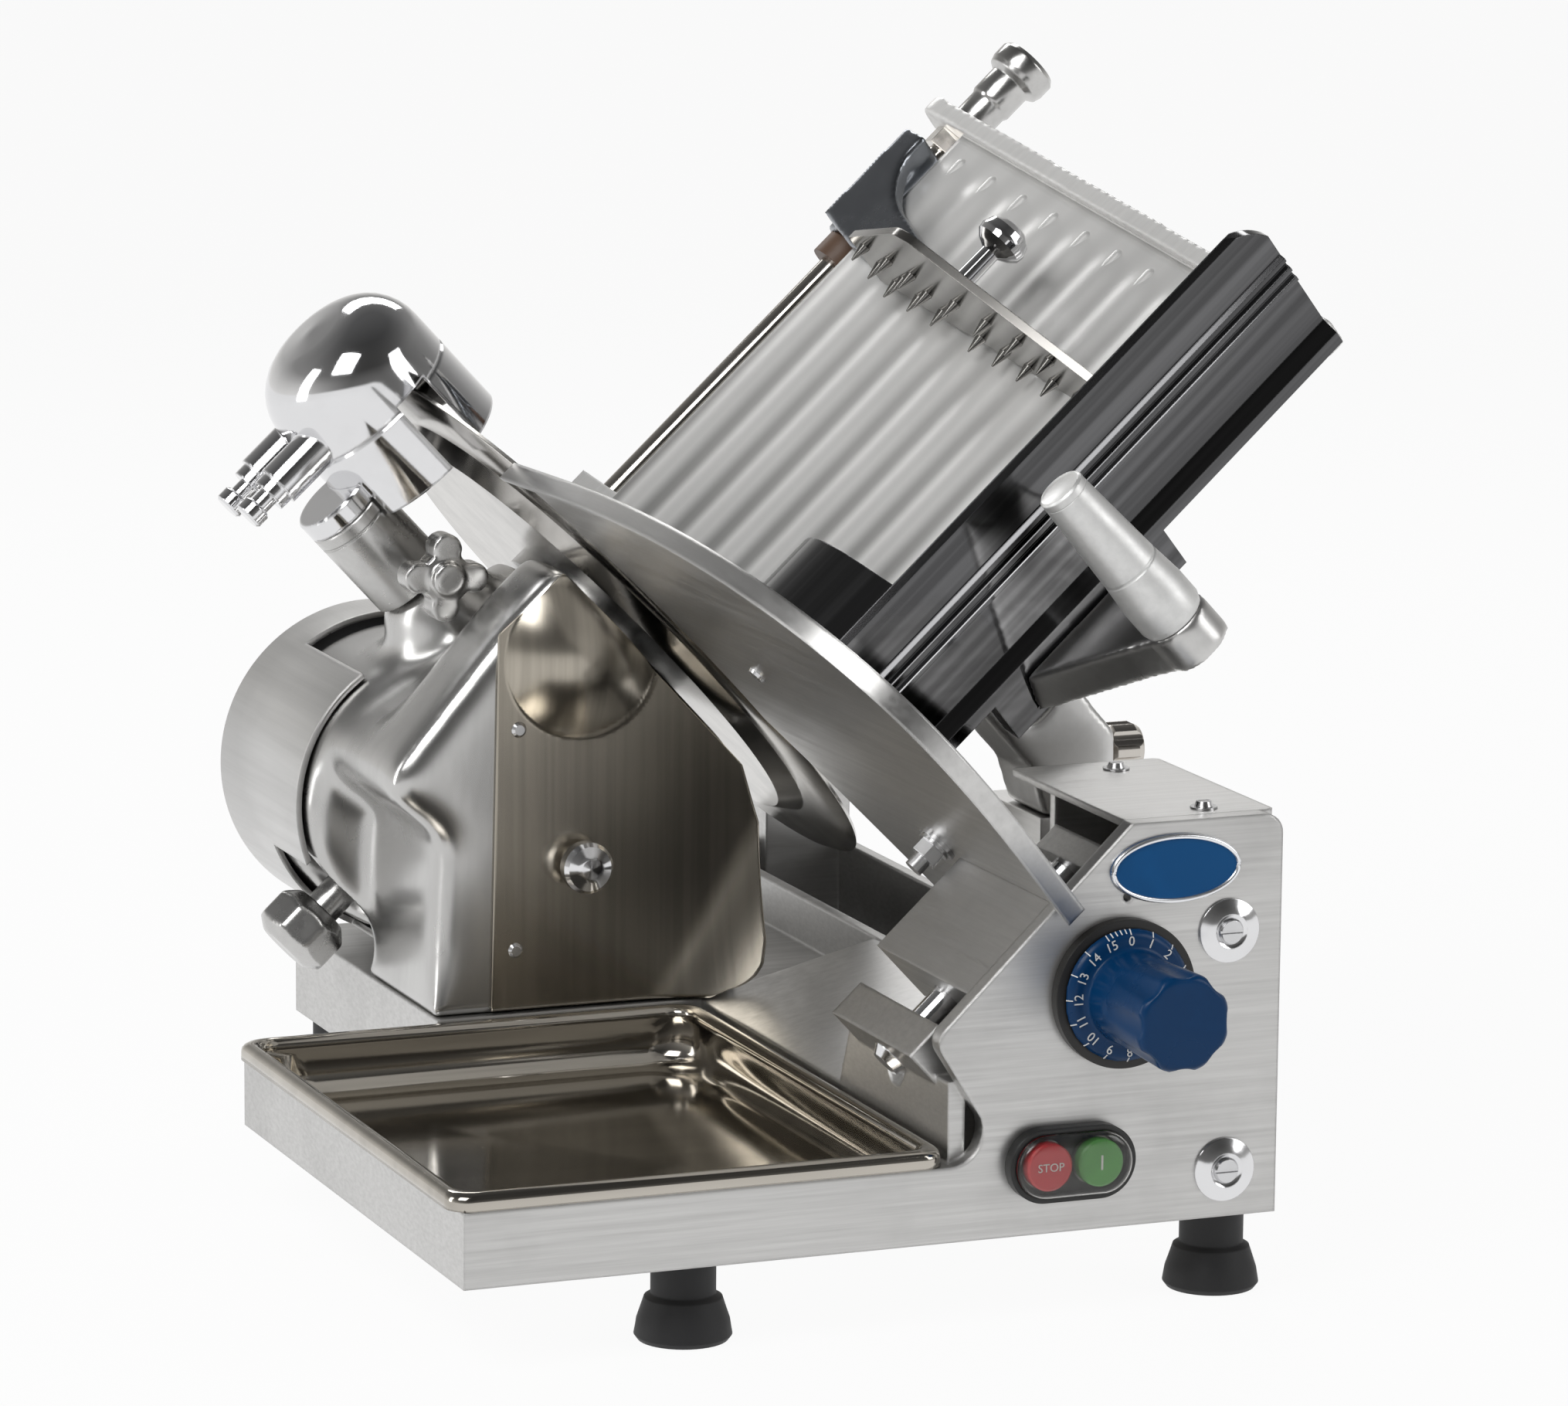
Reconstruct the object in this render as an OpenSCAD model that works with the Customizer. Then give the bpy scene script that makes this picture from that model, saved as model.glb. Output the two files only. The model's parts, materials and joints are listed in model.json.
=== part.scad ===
// Gravity-feed food slicer: sloping round knife, gauge plate, sliding product chute,
// pusher, sharpener, catch tray and a control box with an index dial.
// Working axes: X to the right, Y to the back, Z up from the bench, in millimetres.

/* [Base] */
// Width of the base across its front
base_w = 344; // [336:1:360]
// Depth of the base
base_d = 466; // [460:1:490]
// Height of the cast underside over the bench
underside = 37; // [30:1:45]
// Height of the low wall that carries the tray
wall_h = 30.5; // [26:0.5:31]
// Thickness of the cast walls
wall = 5; // [4:0.5:6]
// Width of the tray pan
pan_w = 205; // [202:1:208]
// Depth of the tray pan
pan_d = 275; // [270:1:276]
// Thickness of the front panel
panel_t = 8; // [6:0.5:9]
// Depth of the control box
box_d = 118; // [116:1:122]
// Top of the control box over the bench
box_top = 200; // [196:1:206]
// Thickness of the box cover and the bottom sheet
cover_t = 3; // [2:0.5:4]
// Height of the rear deck over the bench
deck_top = 75; // [72:1:78]
// Diameter of a foot where it stands
foot_d = 39; // [34:1:44]
// Diameter of a foot's neck
neck_d = 26; // [22:1:30]

/* [Knife] */
// Slope of the knife axis over the bench
tilt = 43; // [42:0.5:44]
// Distance of the knife plane from the base corner
plane_n = 301.5; // [300:0.5:304]
// Place of the knife axis behind the front
knife_y = 390; // [388:1:394]
// Place of the knife axis up the slope
knife_s = 24; // [22:1:26]
// Diameter of the knife
knife_d = 300; // [292:1:304]
// Gap between knife edge and gauge plate
knife_gap = 4.5; // [3:0.5:6]
// Outer diameter of the hollow knife shaft
shaft_d = 34; // [30:1:36]
// Teeth of the crown gear on the knife shaft
crown_teeth = 36; // [36:12:36]
// Teeth of the motor pinion
pinion_teeth = 12; // [12:12:12]
// Size of a gear tooth as pitch diameter per tooth
gear_module = 2; // [2:0.1:2.2]
// Diameter of the knife cover's tie rod
tie_d = 16; // [12:1:18]

/* [Motor] */
// Outer diameter of the motor cover
motor_d = 140; // [136:1:144]
// Distance of the motor axis along the knife axis
motor_n = 193; // [191:1:195]
// Rear rim of the motor cover
motor_back = 480; // [476:1:490]

/* [Gauge plate] */
// Thickness of the plate's face
plate_t = 4; // [3:0.5:5]
// Depth of the rim flange
rim_h = 9; // [8:0.5:12]
// Travel of the plate from flush to its thickest slice
slice_max = 15; // [10:1:16]
// Diameter of the bar that guides the plate
guide_d = 14; // [12:1:16]

/* [Chute] */
// Turn of the chute table about the knife axis
chute_turn = 20; // [19:0.5:21]
// Place of the chute's front corner behind the front
chute_y = 92; // [88:1:96]
// Height of the chute's front corner up the slope
chute_s = 0; // [-4:1:4]
// Width of the table
table_w = 248; // [240:1:250]
// Length of the table
table_l = 244; // [236:1:250]
// Thickness of the table
table_t = 5; // [4:0.5:6]
// Number of ribs on the table
rib_count = 11; // [8:1:13]
// Height of the fence over the table
fence_h = 78; // [66:1:86]
// Thickness of the fence
fence_t = 5; // [4:0.5:7]
// Diameter of the rod that guides the pusher
slide_d = 12; // [10:1:14]
// Diameter of the upper carriage rod
rod_d = 16; // [14:1:18]
// Diameter of the lower carriage rod
guard_rod_d = 12; // [10:1:14]
// Length of the handle's grip
grip_l = 88; // [80:1:100]
// Diameter of the grip at its end
grip_d = 20; // [18:1:22]

/* [Controls] */
// Diameter of the dial's fixed ring
dial_d = 60; // [56:1:64]
// Projection of the dial knob from the panel
dial_l = 60; // [50:1:66]
// Length of the push button plate
switch_l = 54; // [50:1:58]
// Width of the push button plate
switch_w = 30; // [28:1:32]
// Travel of a push button
press = 2.5; // [1.5:0.5:3]

/* [Sharpener] */
// Diameter of the sharpener's post
post_d = 37; // [32:1:40]
// Diameter of the sharpener's housing
sharp_d = 78; // [74:1:84]
// Travel of a sharpening plunger
plunge = 5; // [3:0.5:6]

/* [Fits] */
// Gap between pieces that slide or turn past each other
clear = 0.4; // [0.3:0.05:0.6]
// Gap on each side of a shaft in its bore
fit = 0.05; // [0.03:0.01:0.08]

/* [Hidden] */
$fn = 64;
wall_top = underside + wall_h;
channel_x = base_w - 54;
rod_x = base_w - 23;
rod_z = 154;
guard_rod_z = 56.5;
rod_front = panel_t - 4;
rod_back = base_d - 8;
knife_r = knife_d / 2;
column_y = pan_d + 3;
column_back = knife_y + 58;
column_n = plane_n - 15.5;
shaft_r = shaft_d / 2;
tie_r = tie_d / 2;
crown_r = gear_module * crown_teeth / 2;
pinion_r = gear_module * pinion_teeth / 2;
gear_face = 8;
gear_cavity = crown_r + gear_face;
pitch_n = motor_n + pinion_r;
tooth_h = 0.8 * gear_module;
motor_r = motor_d / 2;
motor_front = column_y + 94;
motor_wall = 2.5;
rotor_r = 30;
collar_n = motor_n - 32;
dial_x = base_w - 69.5;
dial_z = 132.7;
dial_r = dial_d / 2;
cam_low = 10;
cam_y = panel_t + 6;
cam_t = 6;
cam_turn = 300;
follower_r = 4;
guide_s = -66;
guide_y = 60;
carrier_top = -49;
carrier_y = panel_t + clear;
carrier_d = 98;
chute_n = plane_n + 3;
chute_end = chute_n + table_l;
slide_x = 13;
slide_y = table_w + 16;
slide_top = chute_end + 30;
pusher_rest = 78;
bush_n = chute_end - pusher_rest;
sleeve_l = 53;
sleeve_r = 13.5;
pusher_t = 4;
grip_n = plane_n + 110;
grip_y = 20;
grip_s = -22;
block_y = box_d + 27;
block_l = 60;
block_w = 34;
switch_x = base_w - 91.5;
switch_z = 66;
badge_x = base_w - 47;
badge_z = 181;
post_n = 247;
post_y = knife_y - 10;
post_s = 104;
post_l = 44;
sharp_n = plane_n - 12;
sharp_y = knife_y - 4;
sharp_s = 138;
button_r = 4.6;
origin_x = 205;
origin_y = 240;

// Places children with the origin at the middle of the whole machine on the bench
module placed() translate([-origin_x, -origin_y, 0]) children();

// Sloping frame: local z runs along the knife axis and local x runs down the slope
module sloped() placed() rotate([0, 90 - tilt, 0]) children();

// Frame of the knife axis, local z from the base corner along the axis
module on_knife() sloped() translate([-knife_s, knife_y, 0]) children();

// Frame of the chute: x into the table, y along it to the back, z up the chute
module on_chute() sloped() translate([-chute_s, chute_y, 0]) rotate([0, 0, chute_turn]) children();

// Frame of the motor axis, local z to the back
module on_motor() sloped() translate([-knife_s, 0, motor_n]) rotate([-90, 0, 0]) children();

// Outline in X and Z drawn back from a plane across Y
module across(y0, depth) placed() translate([0, y0 + depth, 0]) rotate([90, 0, 0])
  linear_extrude(depth) children();

// Round bar along Y
module bar_y(x, y, z, r, l) placed() translate([x, y, z]) rotate([-90, 0, 0]) cylinder(r = r, h = l);

// Points of an arc
function arc(c, r, a0, a1, steps) =
  [for (i = [0:steps]) c + r * [cos(a0 + (a1 - a0) * i / steps), sin(a0 + (a1 - a0) * i / steps)]];

// Flat shape with straight sides and round ends
module racetrack(l, w) {
  square([l - w, w], center = true);
  for (side = [-1, 1]) translate([side * (l - w) / 2, 0]) circle(d = w);
}

// Flat box with round upright edges
module rounded(size, r) {
  translate([r, 0]) square([size.x - 2 * r, size.y]);
  translate([0, r]) square([size.x, size.y - 2 * r]);
  for (x = [r, size.x - r], y = [r, size.y - r]) translate([x, y]) circle(r);
}

// Smooth curve through points, for a cast or pressed outline
function curve_point(a, b, c, d, u) =
  0.5 * (2 * b + (c - a) * u + (2 * a - 5 * b + 4 * c - d) * u * u
    + (3 * b - a - 3 * c + d) * u * u * u);
function curve(p, steps) = [
  for (i = [0:len(p) - 2], k = [0:steps - 1])
    curve_point(p[max(i - 1, 0)], p[i], p[i + 1], p[min(i + 2, len(p) - 1)], k / steps),
  p[len(p) - 1]];

// Base

// Front panel: low wall at the left, a round notch, and a slanted shoulder beside the box
corner_r = 8;
notch = [pan_w - 3, wall_top + 14];
panel_outline = concat(
  [[0, underside], [base_w, underside]],
  arc([base_w - corner_r, box_top - corner_r], corner_r, 0, 90, 8),
  [[base_w - 66, box_top]],
  arc([pan_w, wall_top + 50], corner_r, 135, 210, 6),
  arc(notch, 14, 20, -90, 8),
  [[0, wall_top]]);

feet = [[pan_w / 2, 32], [base_w - 13, 31], [100, base_d - 20], [base_w - 13, base_d - 20]];
deck_x = 85;
inner_wall = 6;
channel_top = 96;
sheet_inset = wall + 0.5;
lower_guide_n = 215;
upper_guide_n = plane_n + 17;
// Reach of the wall's ledge under the lower guide's block
ledge = [min(pan_w - 0.5, at(lower_guide_n + 8, guide_s)[0] - 2),
  max(pan_w + inner_wall - 0.5, at(lower_guide_n + 8, guide_s)[0] + 2)];

module base_casting() color("silver") difference() {
  union() {
    across(0, panel_t) polygon(panel_outline);
    across(box_d - wall, pan_d - box_d + wall) polygon([[pan_w - 1, deck_top - wall], [pan_w - 1, deck_top],
      [channel_x - 2, channel_top], [channel_x - 2, channel_top - wall]]);
    placed() {
      translate([0, 0, underside]) difference() {
        cube([pan_w, pan_d, wall_h]);
        translate([wall, wall, -1]) cube([pan_w - 2 * wall, pan_d - 2 * wall, wall_h + 2]);
      }
      translate([pan_w - 1, 0, 0]) rotate([90, 0, 90]) linear_extrude(inner_wall + 1)
        polygon([[panel_t - 1, underside], [box_d, underside], [box_d, deck_top], [box_d - 10, 100],
          [panel_t - 1, 100]]);
      translate([ledge[0], guide_y - 12, 88]) cube([ledge[1] - ledge[0], 24, 11]);
      translate([base_w - wall, panel_t - 1, underside])
        cube([wall, box_d - panel_t + 1, box_top - cover_t - underside]);
      translate([base_w - 48, box_d - wall, underside]) cube([48, wall, box_top - cover_t - underside]);
      translate([pan_w, box_d - wall, underside]) cube([base_w - pan_w, wall, wall_h + 15]);
      translate([base_w - wall, box_d - 1, underside]) cube([wall, base_d - box_d + 1, 64]);
      translate([deck_x, pan_d - 1, underside]) difference() {
        cube([channel_x - deck_x, base_d - pan_d + 1, deck_top - underside]);
        translate([wall, wall, -1]) cube([channel_x - deck_x - 2 * wall,
          base_d - pan_d + 1 - 2 * wall, deck_top - underside - wall + 1]);
      }
      translate([channel_x - wall, box_d - wall, underside])
        cube([wall, base_d - box_d + wall, channel_top - underside]);
      translate([channel_x - 1, base_d - wall, underside]) cube([base_w - channel_x + 1, wall, 64]);
      translate([rod_x - 18, base_d - 20, underside]) cube([base_w - rod_x + 18, 20, rod_z + 20 - underside]);
    }
    sloped() {
      translate([-guide_s - 14, guide_y - 40, lower_guide_n]) cube([33, 80, 17]);
      translate([-guide_s - 11, panel_t - 1, upper_guide_n]) cube([24, guide_y + 8, 12]);
    }
  }
  bar_y(rod_x, rod_front, rod_z, rod_d / 2 + fit, base_d);
  bar_y(rod_x, rod_front, guard_rod_z, guard_rod_d / 2 + fit, base_d);
  for (z = [rod_z, guard_rod_z]) bar_y(rod_x, -1, z, 3.2, panel_t);
  bar_y(dial_x, -1, dial_z, 5 + fit, panel_t + 2);
  bar_y(dial_x + 2, -1, dial_z + 38, 1.8, panel_t + 2);
  for (side = [-1, 1]) bar_y(switch_x + side * 11, -1, switch_z, button_r + fit, panel_t + 2);
  placed() translate([0, 0, underside - 1]) {
    linear_extrude(cover_t + 1) sheet_outline(sheet_inset - 0.3);
    for (p = feet) translate([p.x, p.y, 0]) cylinder(r = 8, h = cover_t + 7);
  }
  sloped() translate([-guide_s, guide_y, lower_guide_n]) {
    cylinder(d = guide_d + 2 * fit, h = 140);
    translate([0, 0, -6]) cylinder(r = guide_d / 2 + 3, h = 6);
  }
}

// Outline of the sheet that closes the base from below, drawn in from the walls
module sheet_outline(inset) polygon([[inset, inset], [base_w - inset, inset],
  [base_w - inset, base_d - inset], [deck_x + inset, base_d - inset],
  [deck_x + inset, pan_d - inset], [inset, pan_d - inset]]);

module bottom_sheet() color("gainsboro") placed() difference() {
  translate([0, 0, underside]) linear_extrude(cover_t) sheet_outline(sheet_inset);
  for (p = feet) translate([p.x, p.y, 0]) cylinder(r = 4 + fit, h = underside + 9);
}

module box_cover() color("silver") placed() translate([base_w - 66, panel_t, box_top - cover_t])
  linear_extrude(cover_t) rounded([66, box_d - panel_t], 3);

module cover_screws() color("gainsboro") placed()
  for (y = [panel_t + 11, box_d - 16]) translate([base_w - 26, y, box_top]) {
    cylinder(r = 5.5, h = 0.8);
    translate([0, 0, 0.8]) difference() {
      cylinder(r1 = 3.8, r2 = 3, h = 2.2);
      translate([-4, -0.4, 1.2]) cube([8, 0.8, 2]);
    }
  }

module rubber_feet() color("black") placed() for (p = feet) translate([p.x, p.y, 0]) difference() {
  rotate_extrude() polygon([[0, 0], [foot_d / 2 - 1.5, 0], [foot_d / 2, 2], [foot_d / 2 - 1, 8],
    [foot_d / 2 - 4, 17], [neck_d / 2, 18.5], [neck_d / 2, underside], [0, underside]]);
  translate([0, 0, 12]) cylinder(r = 4 + fit, h = underside);
}

module foot_studs() color("gainsboro") placed() for (p = feet) translate([p.x, p.y, 0]) {
  translate([0, 0, 12]) cylinder(r = 4, h = underside + cover_t - 12);
  translate([0, 0, underside + cover_t]) cylinder(r = 7, h = 5, $fn = 6);
}

module badge_plate() color("royalblue") across(-1.4, 1.4) translate([badge_x, badge_z])
  polygon([for (a = [0:6:354]) [28 * cos(a), 13.7 * sin(a)]]);

// Dial and the scroll that sets the slice thickness

knob_tip = 20;
skirt_r = dial_r - 3;
scallops = 8;

module dial_ring() color("dimgray") difference() {
  bar_y(dial_x, -5, dial_z, dial_r, 5);
  bar_y(dial_x, -6, dial_z, dial_r - 8, 7);
}

module dial_knob() color("midnightblue") difference() {
  placed() translate([dial_x, 0, dial_z]) rotate([90, 0, 0]) difference() {
    rotate_extrude() polygon([[0, 5.3], [skirt_r, 5.3], [skirt_r, 6.7], [skirt_r - 2.6, 9],
      [knob_tip - 0.8, 9.2], [knob_tip - 1.6, 10.4], [knob_tip - 1.6, 14], [knob_tip, dial_l - 2],
      [knob_tip - 2, dial_l], [0, dial_l]]);
    for (k = [1:scallops]) rotate([0, 0, k * 360 / scallops])
      translate([knob_tip + 9, 0, 24]) cylinder(r = 11, h = dial_l);
  }
  bar_y(dial_x, -dial_l + 12, dial_z, 5 + fit, dial_l);
}

module dial_shaft() color("gainsboro") bar_y(dial_x, -dial_l + 12, dial_z, 5, dial_l + 20);

function cam_r(a) = a <= cam_turn ? cam_low + slice_max * a / cam_turn
  : a <= cam_turn + 15 ? cam_low + slice_max
  : a < cam_turn + 35 ? cam_low + slice_max * (cam_turn + 35 - a) / 20 : cam_low;
follower_way = 180 + tilt;

module index_cam() color("goldenrod") difference() {
  across(cam_y, cam_t) translate([dial_x, dial_z])
    polygon([for (a = [0:5:355]) cam_r(a) * [cos(follower_way - a), sin(follower_way - a)]]);
  bar_y(dial_x, cam_y - 1, dial_z, 5 + fit, cam_t + 2);
}

// Gauge plate with its sliding carrier

arc_r = knife_r + knife_gap;
plate_end_y = knife_y - sqrt(arc_r * arc_r - pow(141 - knife_s, 2));
plate_front = curve([for (p = [[plate_end_y, 141], [175, 147], [93, 143], [31, 128], [-11, 104],
  [-35, 69], [-34, 19], [-8, -50]]) [-p.y, p.x]], 6);
arc_low = asin(knife_s / arc_r);
arc_high = asin((141 - knife_s) / arc_r);
plate_back = [for (i = [0:12]) let(a = -arc_low + (arc_high + arc_low) * i / 12)
  [-knife_s - arc_r * sin(a), knife_y - arc_r * cos(a)]];
plate_foot = [[50, -2.6], [38, -2.6], [38, panel_t + 1.5], [58, panel_t + 1.5],
  [58, box_d - 18], [98, box_d + 4], [98, 206], [40, 222]];
rim_t = 3;
plate_mid = [-30, 110];
function drawn_in(p) = p + rim_t * (plate_mid - p) / norm(plate_mid - p);
plate_bolts = [[-44.5, 170], [43, 119]];

module gauge_plate() color("lightgray") sloped() {
  translate([0, 0, plane_n - plate_t]) linear_extrude(plate_t)
    polygon(concat(plate_front, plate_foot, plate_back));
  translate([0, 0, plane_n - rim_h]) linear_extrude(rim_h - 1)
    polygon(concat(plate_front, [for (i = [len(plate_front) - 1:-1:0]) drawn_in(plate_front[i])]));
}

dial_n = dial_x * cos(tilt) + dial_z * sin(tilt);
dial_down = dial_x * sin(tilt) - dial_z * cos(tilt);
follower_n = dial_n - cam_low - follower_r - clear;
carrier_low = lower_guide_n + 33;

module gauge_carrier() color("silver") sloped() difference() {
  union() {
    translate([-carrier_top, carrier_y, carrier_low])
      cube([31, carrier_d, plane_n - plate_t - carrier_low]);
    translate([dial_down - 12, cam_y + cam_t + 2, follower_n - 7]) cube([18, 9, 14]);
  }
  translate([-guide_s, guide_y, 0]) cylinder(d = guide_d + 2 * fit, h = plane_n);
  translate([dial_down - cam_low - slice_max - 3, cam_y - 1, dial_n - cam_low - slice_max - 3])
    cube([60, cam_t + 2, 60]);
  translate([dial_down, cam_y, follower_n]) rotate([-90, 0, 0]) cylinder(r = follower_r + fit, h = 40);
}

module cam_follower() color("gainsboro") sloped() translate([dial_down, cam_y - 0.5, follower_n])
  rotate([-90, 0, 0]) cylinder(r = follower_r, h = cam_t + 11.5);

module gauge_bolts() color("gainsboro") sloped() {
  translate([plate_bolts[0].x, plate_bolts[0].y, plane_n - plate_t - 1.6])
    cylinder(r1 = 3.6, r2 = 4.4, h = 1.6);
  translate([plate_bolts[1].x, plate_bolts[1].y, plane_n - plate_t]) mirror([0, 0, 1]) {
    cylinder(r = 9, h = 2);
    translate([0, 0, 2]) cylinder(r = 7.5, h = 1.5);
    translate([0, 0, 3.5]) cylinder(r = 6.5, h = 6, $fn = 6);
    translate([0, 0, 9.5]) cylinder(r = 4, h = 6);
  }
}

module guide_bar() color("gainsboro") sloped() translate([-guide_s, guide_y, lower_guide_n]) {
  cylinder(d = guide_d, h = upper_guide_n + 12 - lower_guide_n);
  translate([0, 0, -4]) cylinder(r1 = guide_d / 2 - 1, r2 = guide_d / 2 + 2, h = 4);
}

// Carriage on its two rods

slide_low_n = chute_n + 14;
lug_l = 12;
block_z = rod_z - 18;

module carriage_rods() color("gainsboro") {
  bar_y(rod_x, rod_front, rod_z, rod_d / 2, rod_back - rod_front);
  bar_y(rod_x, rod_front, guard_rod_z, guard_rod_d / 2, rod_back - rod_front);
}

module rod_end_discs() color("gainsboro") placed() for (z = [rod_z, guard_rod_z])
  translate([rod_x, 0, z]) rotate([90, 0, 0]) difference() {
    rotate_extrude() polygon([[0, 0], [13, 0], [13, 1], [8.5, 2.6], [7, 3], [6, 2.4], [0, 2.4]]);
    translate([0, 0, -1]) cylinder(r = 3.2, h = 5);
  }

module rod_end_screws() color("gainsboro") placed() for (z = [rod_z, guard_rod_z])
  translate([rod_x, 0, z]) rotate([90, 0, 0]) difference() {
    union() {
      translate([0, 0, -rod_front]) cylinder(r = 3, h = rod_front + 2.4);
      translate([0, 0, 2.4]) cylinder(r1 = 5.4, r2 = 4.6, h = 1.4);
    }
    translate([-6, -0.6, 3]) cube([12, 1.2, 2]);
  }

module slide_block() color("silver") difference() {
  placed() {
    translate([rod_x - block_w / 2, block_y, block_z]) cube([block_w, block_l, 36]);
    translate([rod_x - 10, block_y + 15, guard_rod_z - 11]) cube([20, 30, block_z - guard_rod_z + 12]);
  }
  bar_y(rod_x, block_y - 1, rod_z, rod_d / 2 + 3 + fit, block_l + 2);
  bar_y(rod_x, block_y, guard_rod_z, guard_rod_d / 2 + clear, block_l);
}

module slide_bushes() color("peru") for (y = [block_y, block_y + block_l - 18]) difference() {
  bar_y(rod_x, y, rod_z, rod_d / 2 + 3, 18);
  bar_y(rod_x, y - 1, rod_z, rod_d / 2 + fit, 20);
}

// Point at a distance along the knife axis and up the slope, as X and Z
function at(n, s) = [n * cos(tilt) - s * sin(tilt), n * sin(tilt) + s * cos(tilt)];

module chute_arm() color("gainsboro") {
  across(block_y, 40) difference() {
    polygon([at(chute_n + 47, 8), at(chute_n + 87, 8), [rod_x + block_w / 2, rod_z + 52],
      [rod_x + block_w / 2, rod_z + 18], [rod_x - block_w / 2 + 2, rod_z + 18], at(chute_n + 46, -64)]);
    translate(at(chute_n + 58, -50)) rotate(tilt) square([16, 22]);
  }
  difference() {
    on_chute() translate([table_t, 52, chute_n + 47]) cube([30, 40, 40]);
    across(block_y, 40) polygon([at(chute_n + 40, 8), at(chute_n + 95, 8), at(chute_n + 95, -40),
      at(chute_n + 40, -40)]);
  }
}

rib_r = 3;
rib_step = (table_w - 24) / (rib_count - 1);

module chute_table() color("lightgray") on_chute() difference() {
  union() {
    translate([0, 0, chute_n]) cube([table_t, table_w, table_l]);
    for (k = [0:rib_count - 1]) translate([1.6, 12 + k * rib_step, chute_n + 6]) {
      cylinder(r = rib_r, h = table_l - 18);
      translate([0, 0, table_l - 18]) sphere(rib_r);
    }
    translate([0, table_w - 6, slide_low_n]) cube([slide_x + slide_d / 2 + 4, slide_y - table_w + 16, lug_l]);
    translate([table_t, 40, chute_n]) cube([12, 4, table_l]);
    translate([table_t, table_w - 30, chute_n]) cube([12, 4, table_l]);
  }
  translate([slide_x, slide_y, 0]) cylinder(d = slide_d + 2 * fit, h = 900);
}

bar_w = 9;

module chute_end_bar() color("whitesmoke") on_chute() difference() {
  translate([0, 0, chute_end]) linear_extrude(bar_w) {
    translate([-3, 0.5]) rounded([16, slide_y - 8], 3);
    translate([-3, slide_y - 18]) rounded([slide_x + 17, 34], 8);
  }
  translate([slide_x, slide_y, 0]) cylinder(d = slide_d + 2 * fit, h = 900);
}

fence_low = 4;
fence_l = table_l + 4;
fence_foot = 22;
fence_round = 26;

// Fence outline across the chute, with three raised lines on its outer face
fence_profile = concat(
  [[-fence_h, 0], [-fence_h - 2, -2], [-fence_h, -fence_t]],
  [for (x = [-52, -46, -40]) each [[x - 2, -fence_t], [x - 1, -fence_t - 2],
    [x + 1, -fence_t - 2], [x + 2, -fence_t]]],
  [[-12, -fence_t], [-6, -fence_t - 5], [fence_low - 4, -fence_t - 5], [fence_low, -fence_t],
    [fence_low, 0]]);

module chute_fence() color("gray") on_chute() difference() {
  union() {
    translate([0, 0, chute_n + 0.5]) linear_extrude(fence_l) polygon(fence_profile);
    translate([-2, -fence_t - 5, grip_n - 66]) cube([fence_foot + 2, fence_t + 5, 100]);
  }
  translate([-fence_h - 4, -20, chute_n + fence_l - fence_round]) rotate([-90, 0, 0]) difference() {
    translate([-1, -fence_round - 2, 0]) cube([fence_round + 5, fence_round + 2, 40]);
    translate([fence_round + 4, 0, -1]) cylinder(r = fence_round + 4, h = 42);
  }
}

guard_r = 70;
guard_t = 2.5;
guard_x = -fence_h + guard_r + 6;

module thumb_guard() color("dimgray") on_chute() translate([0, 0, chute_n + 2]) linear_extrude(40)
  polygon(concat([[guard_x - guard_r, 0]],
    [for (a = [0:6:84]) [guard_x - guard_r * cos(a), 35 + guard_r * sin(a)]],
    [for (a = [84:-6:0]) [guard_x - (guard_r - guard_t) * cos(a), 35 + (guard_r - guard_t) * sin(a)]],
    [[guard_x - guard_r + guard_t, 0]]));

module handle_bracket() color("silver") difference() {
  sloped() translate([-grip_s - 18, 0, 0]) rotate([90, 0, 90]) linear_extrude(18) {
    polygon([[chute_y + 12, grip_n - 62], [chute_y + 12, grip_n + 30], [grip_y + 4, grip_n + 13.4],
      [grip_y - 12, grip_n - 7]]);
    translate([grip_y, grip_n]) circle(14);
  }
  on_chute() translate([-200, -fence_t - 5, 0]) cube([400, 200, 900]);
}

cap_h = 4;

module handle_grip() color("silver") sloped() translate([-grip_s - 18, grip_y, grip_n]) rotate([0, -90, 0])
  rotate_extrude() polygon([[0, 0], [13, 0], [14, 3], [14, 14], [12.6, 28], [12.2, 28.4], [12.2, 29.2],
    [12.5, 29.6], [grip_d / 2, grip_l - 18], [0, grip_l - 18]]);

module handle_cap() color("gainsboro") sloped() translate([-grip_s - grip_l, grip_y, grip_n])
  rotate([0, -90, 0]) rotate_extrude() polygon([[0, 0], [grip_d / 2, 0], [grip_d / 2, cap_h - 1],
    [grip_d / 2 - 1, cap_h], [grip_d / 2 - 2, cap_h - 0.6], [0, cap_h - 0.6]]);

lock_y = block_y + 22;
lock_z = rod_z + 41;

module lock_knob() color("whitesmoke") placed()
  translate([rod_x + block_w / 2, lock_y, lock_z]) rotate([0, 90, 0]) difference() {
    rotate_extrude() polygon([[0, clear], [7, clear], [7, 4], [11, 6], [11, 16], [9, 19], [0, 19]]);
    for (k = [1:6]) rotate([0, 0, 60 * k]) translate([14, 0, 5]) cylinder(r = 5, h = 20);
  }

// Pusher that holds the product down the chute

bush_l = 11;
web_t = 9;
spike_h = 8;

module slide_rod() color("gainsboro") on_chute() translate([slide_x, slide_y, slide_low_n]) {
  cylinder(d = slide_d, h = slide_top - slide_low_n);
  translate([0, 0, chute_end - 9 - slide_low_n]) cylinder(r = slide_d / 2 + 4, h = 9, $fn = 6);
}

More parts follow.
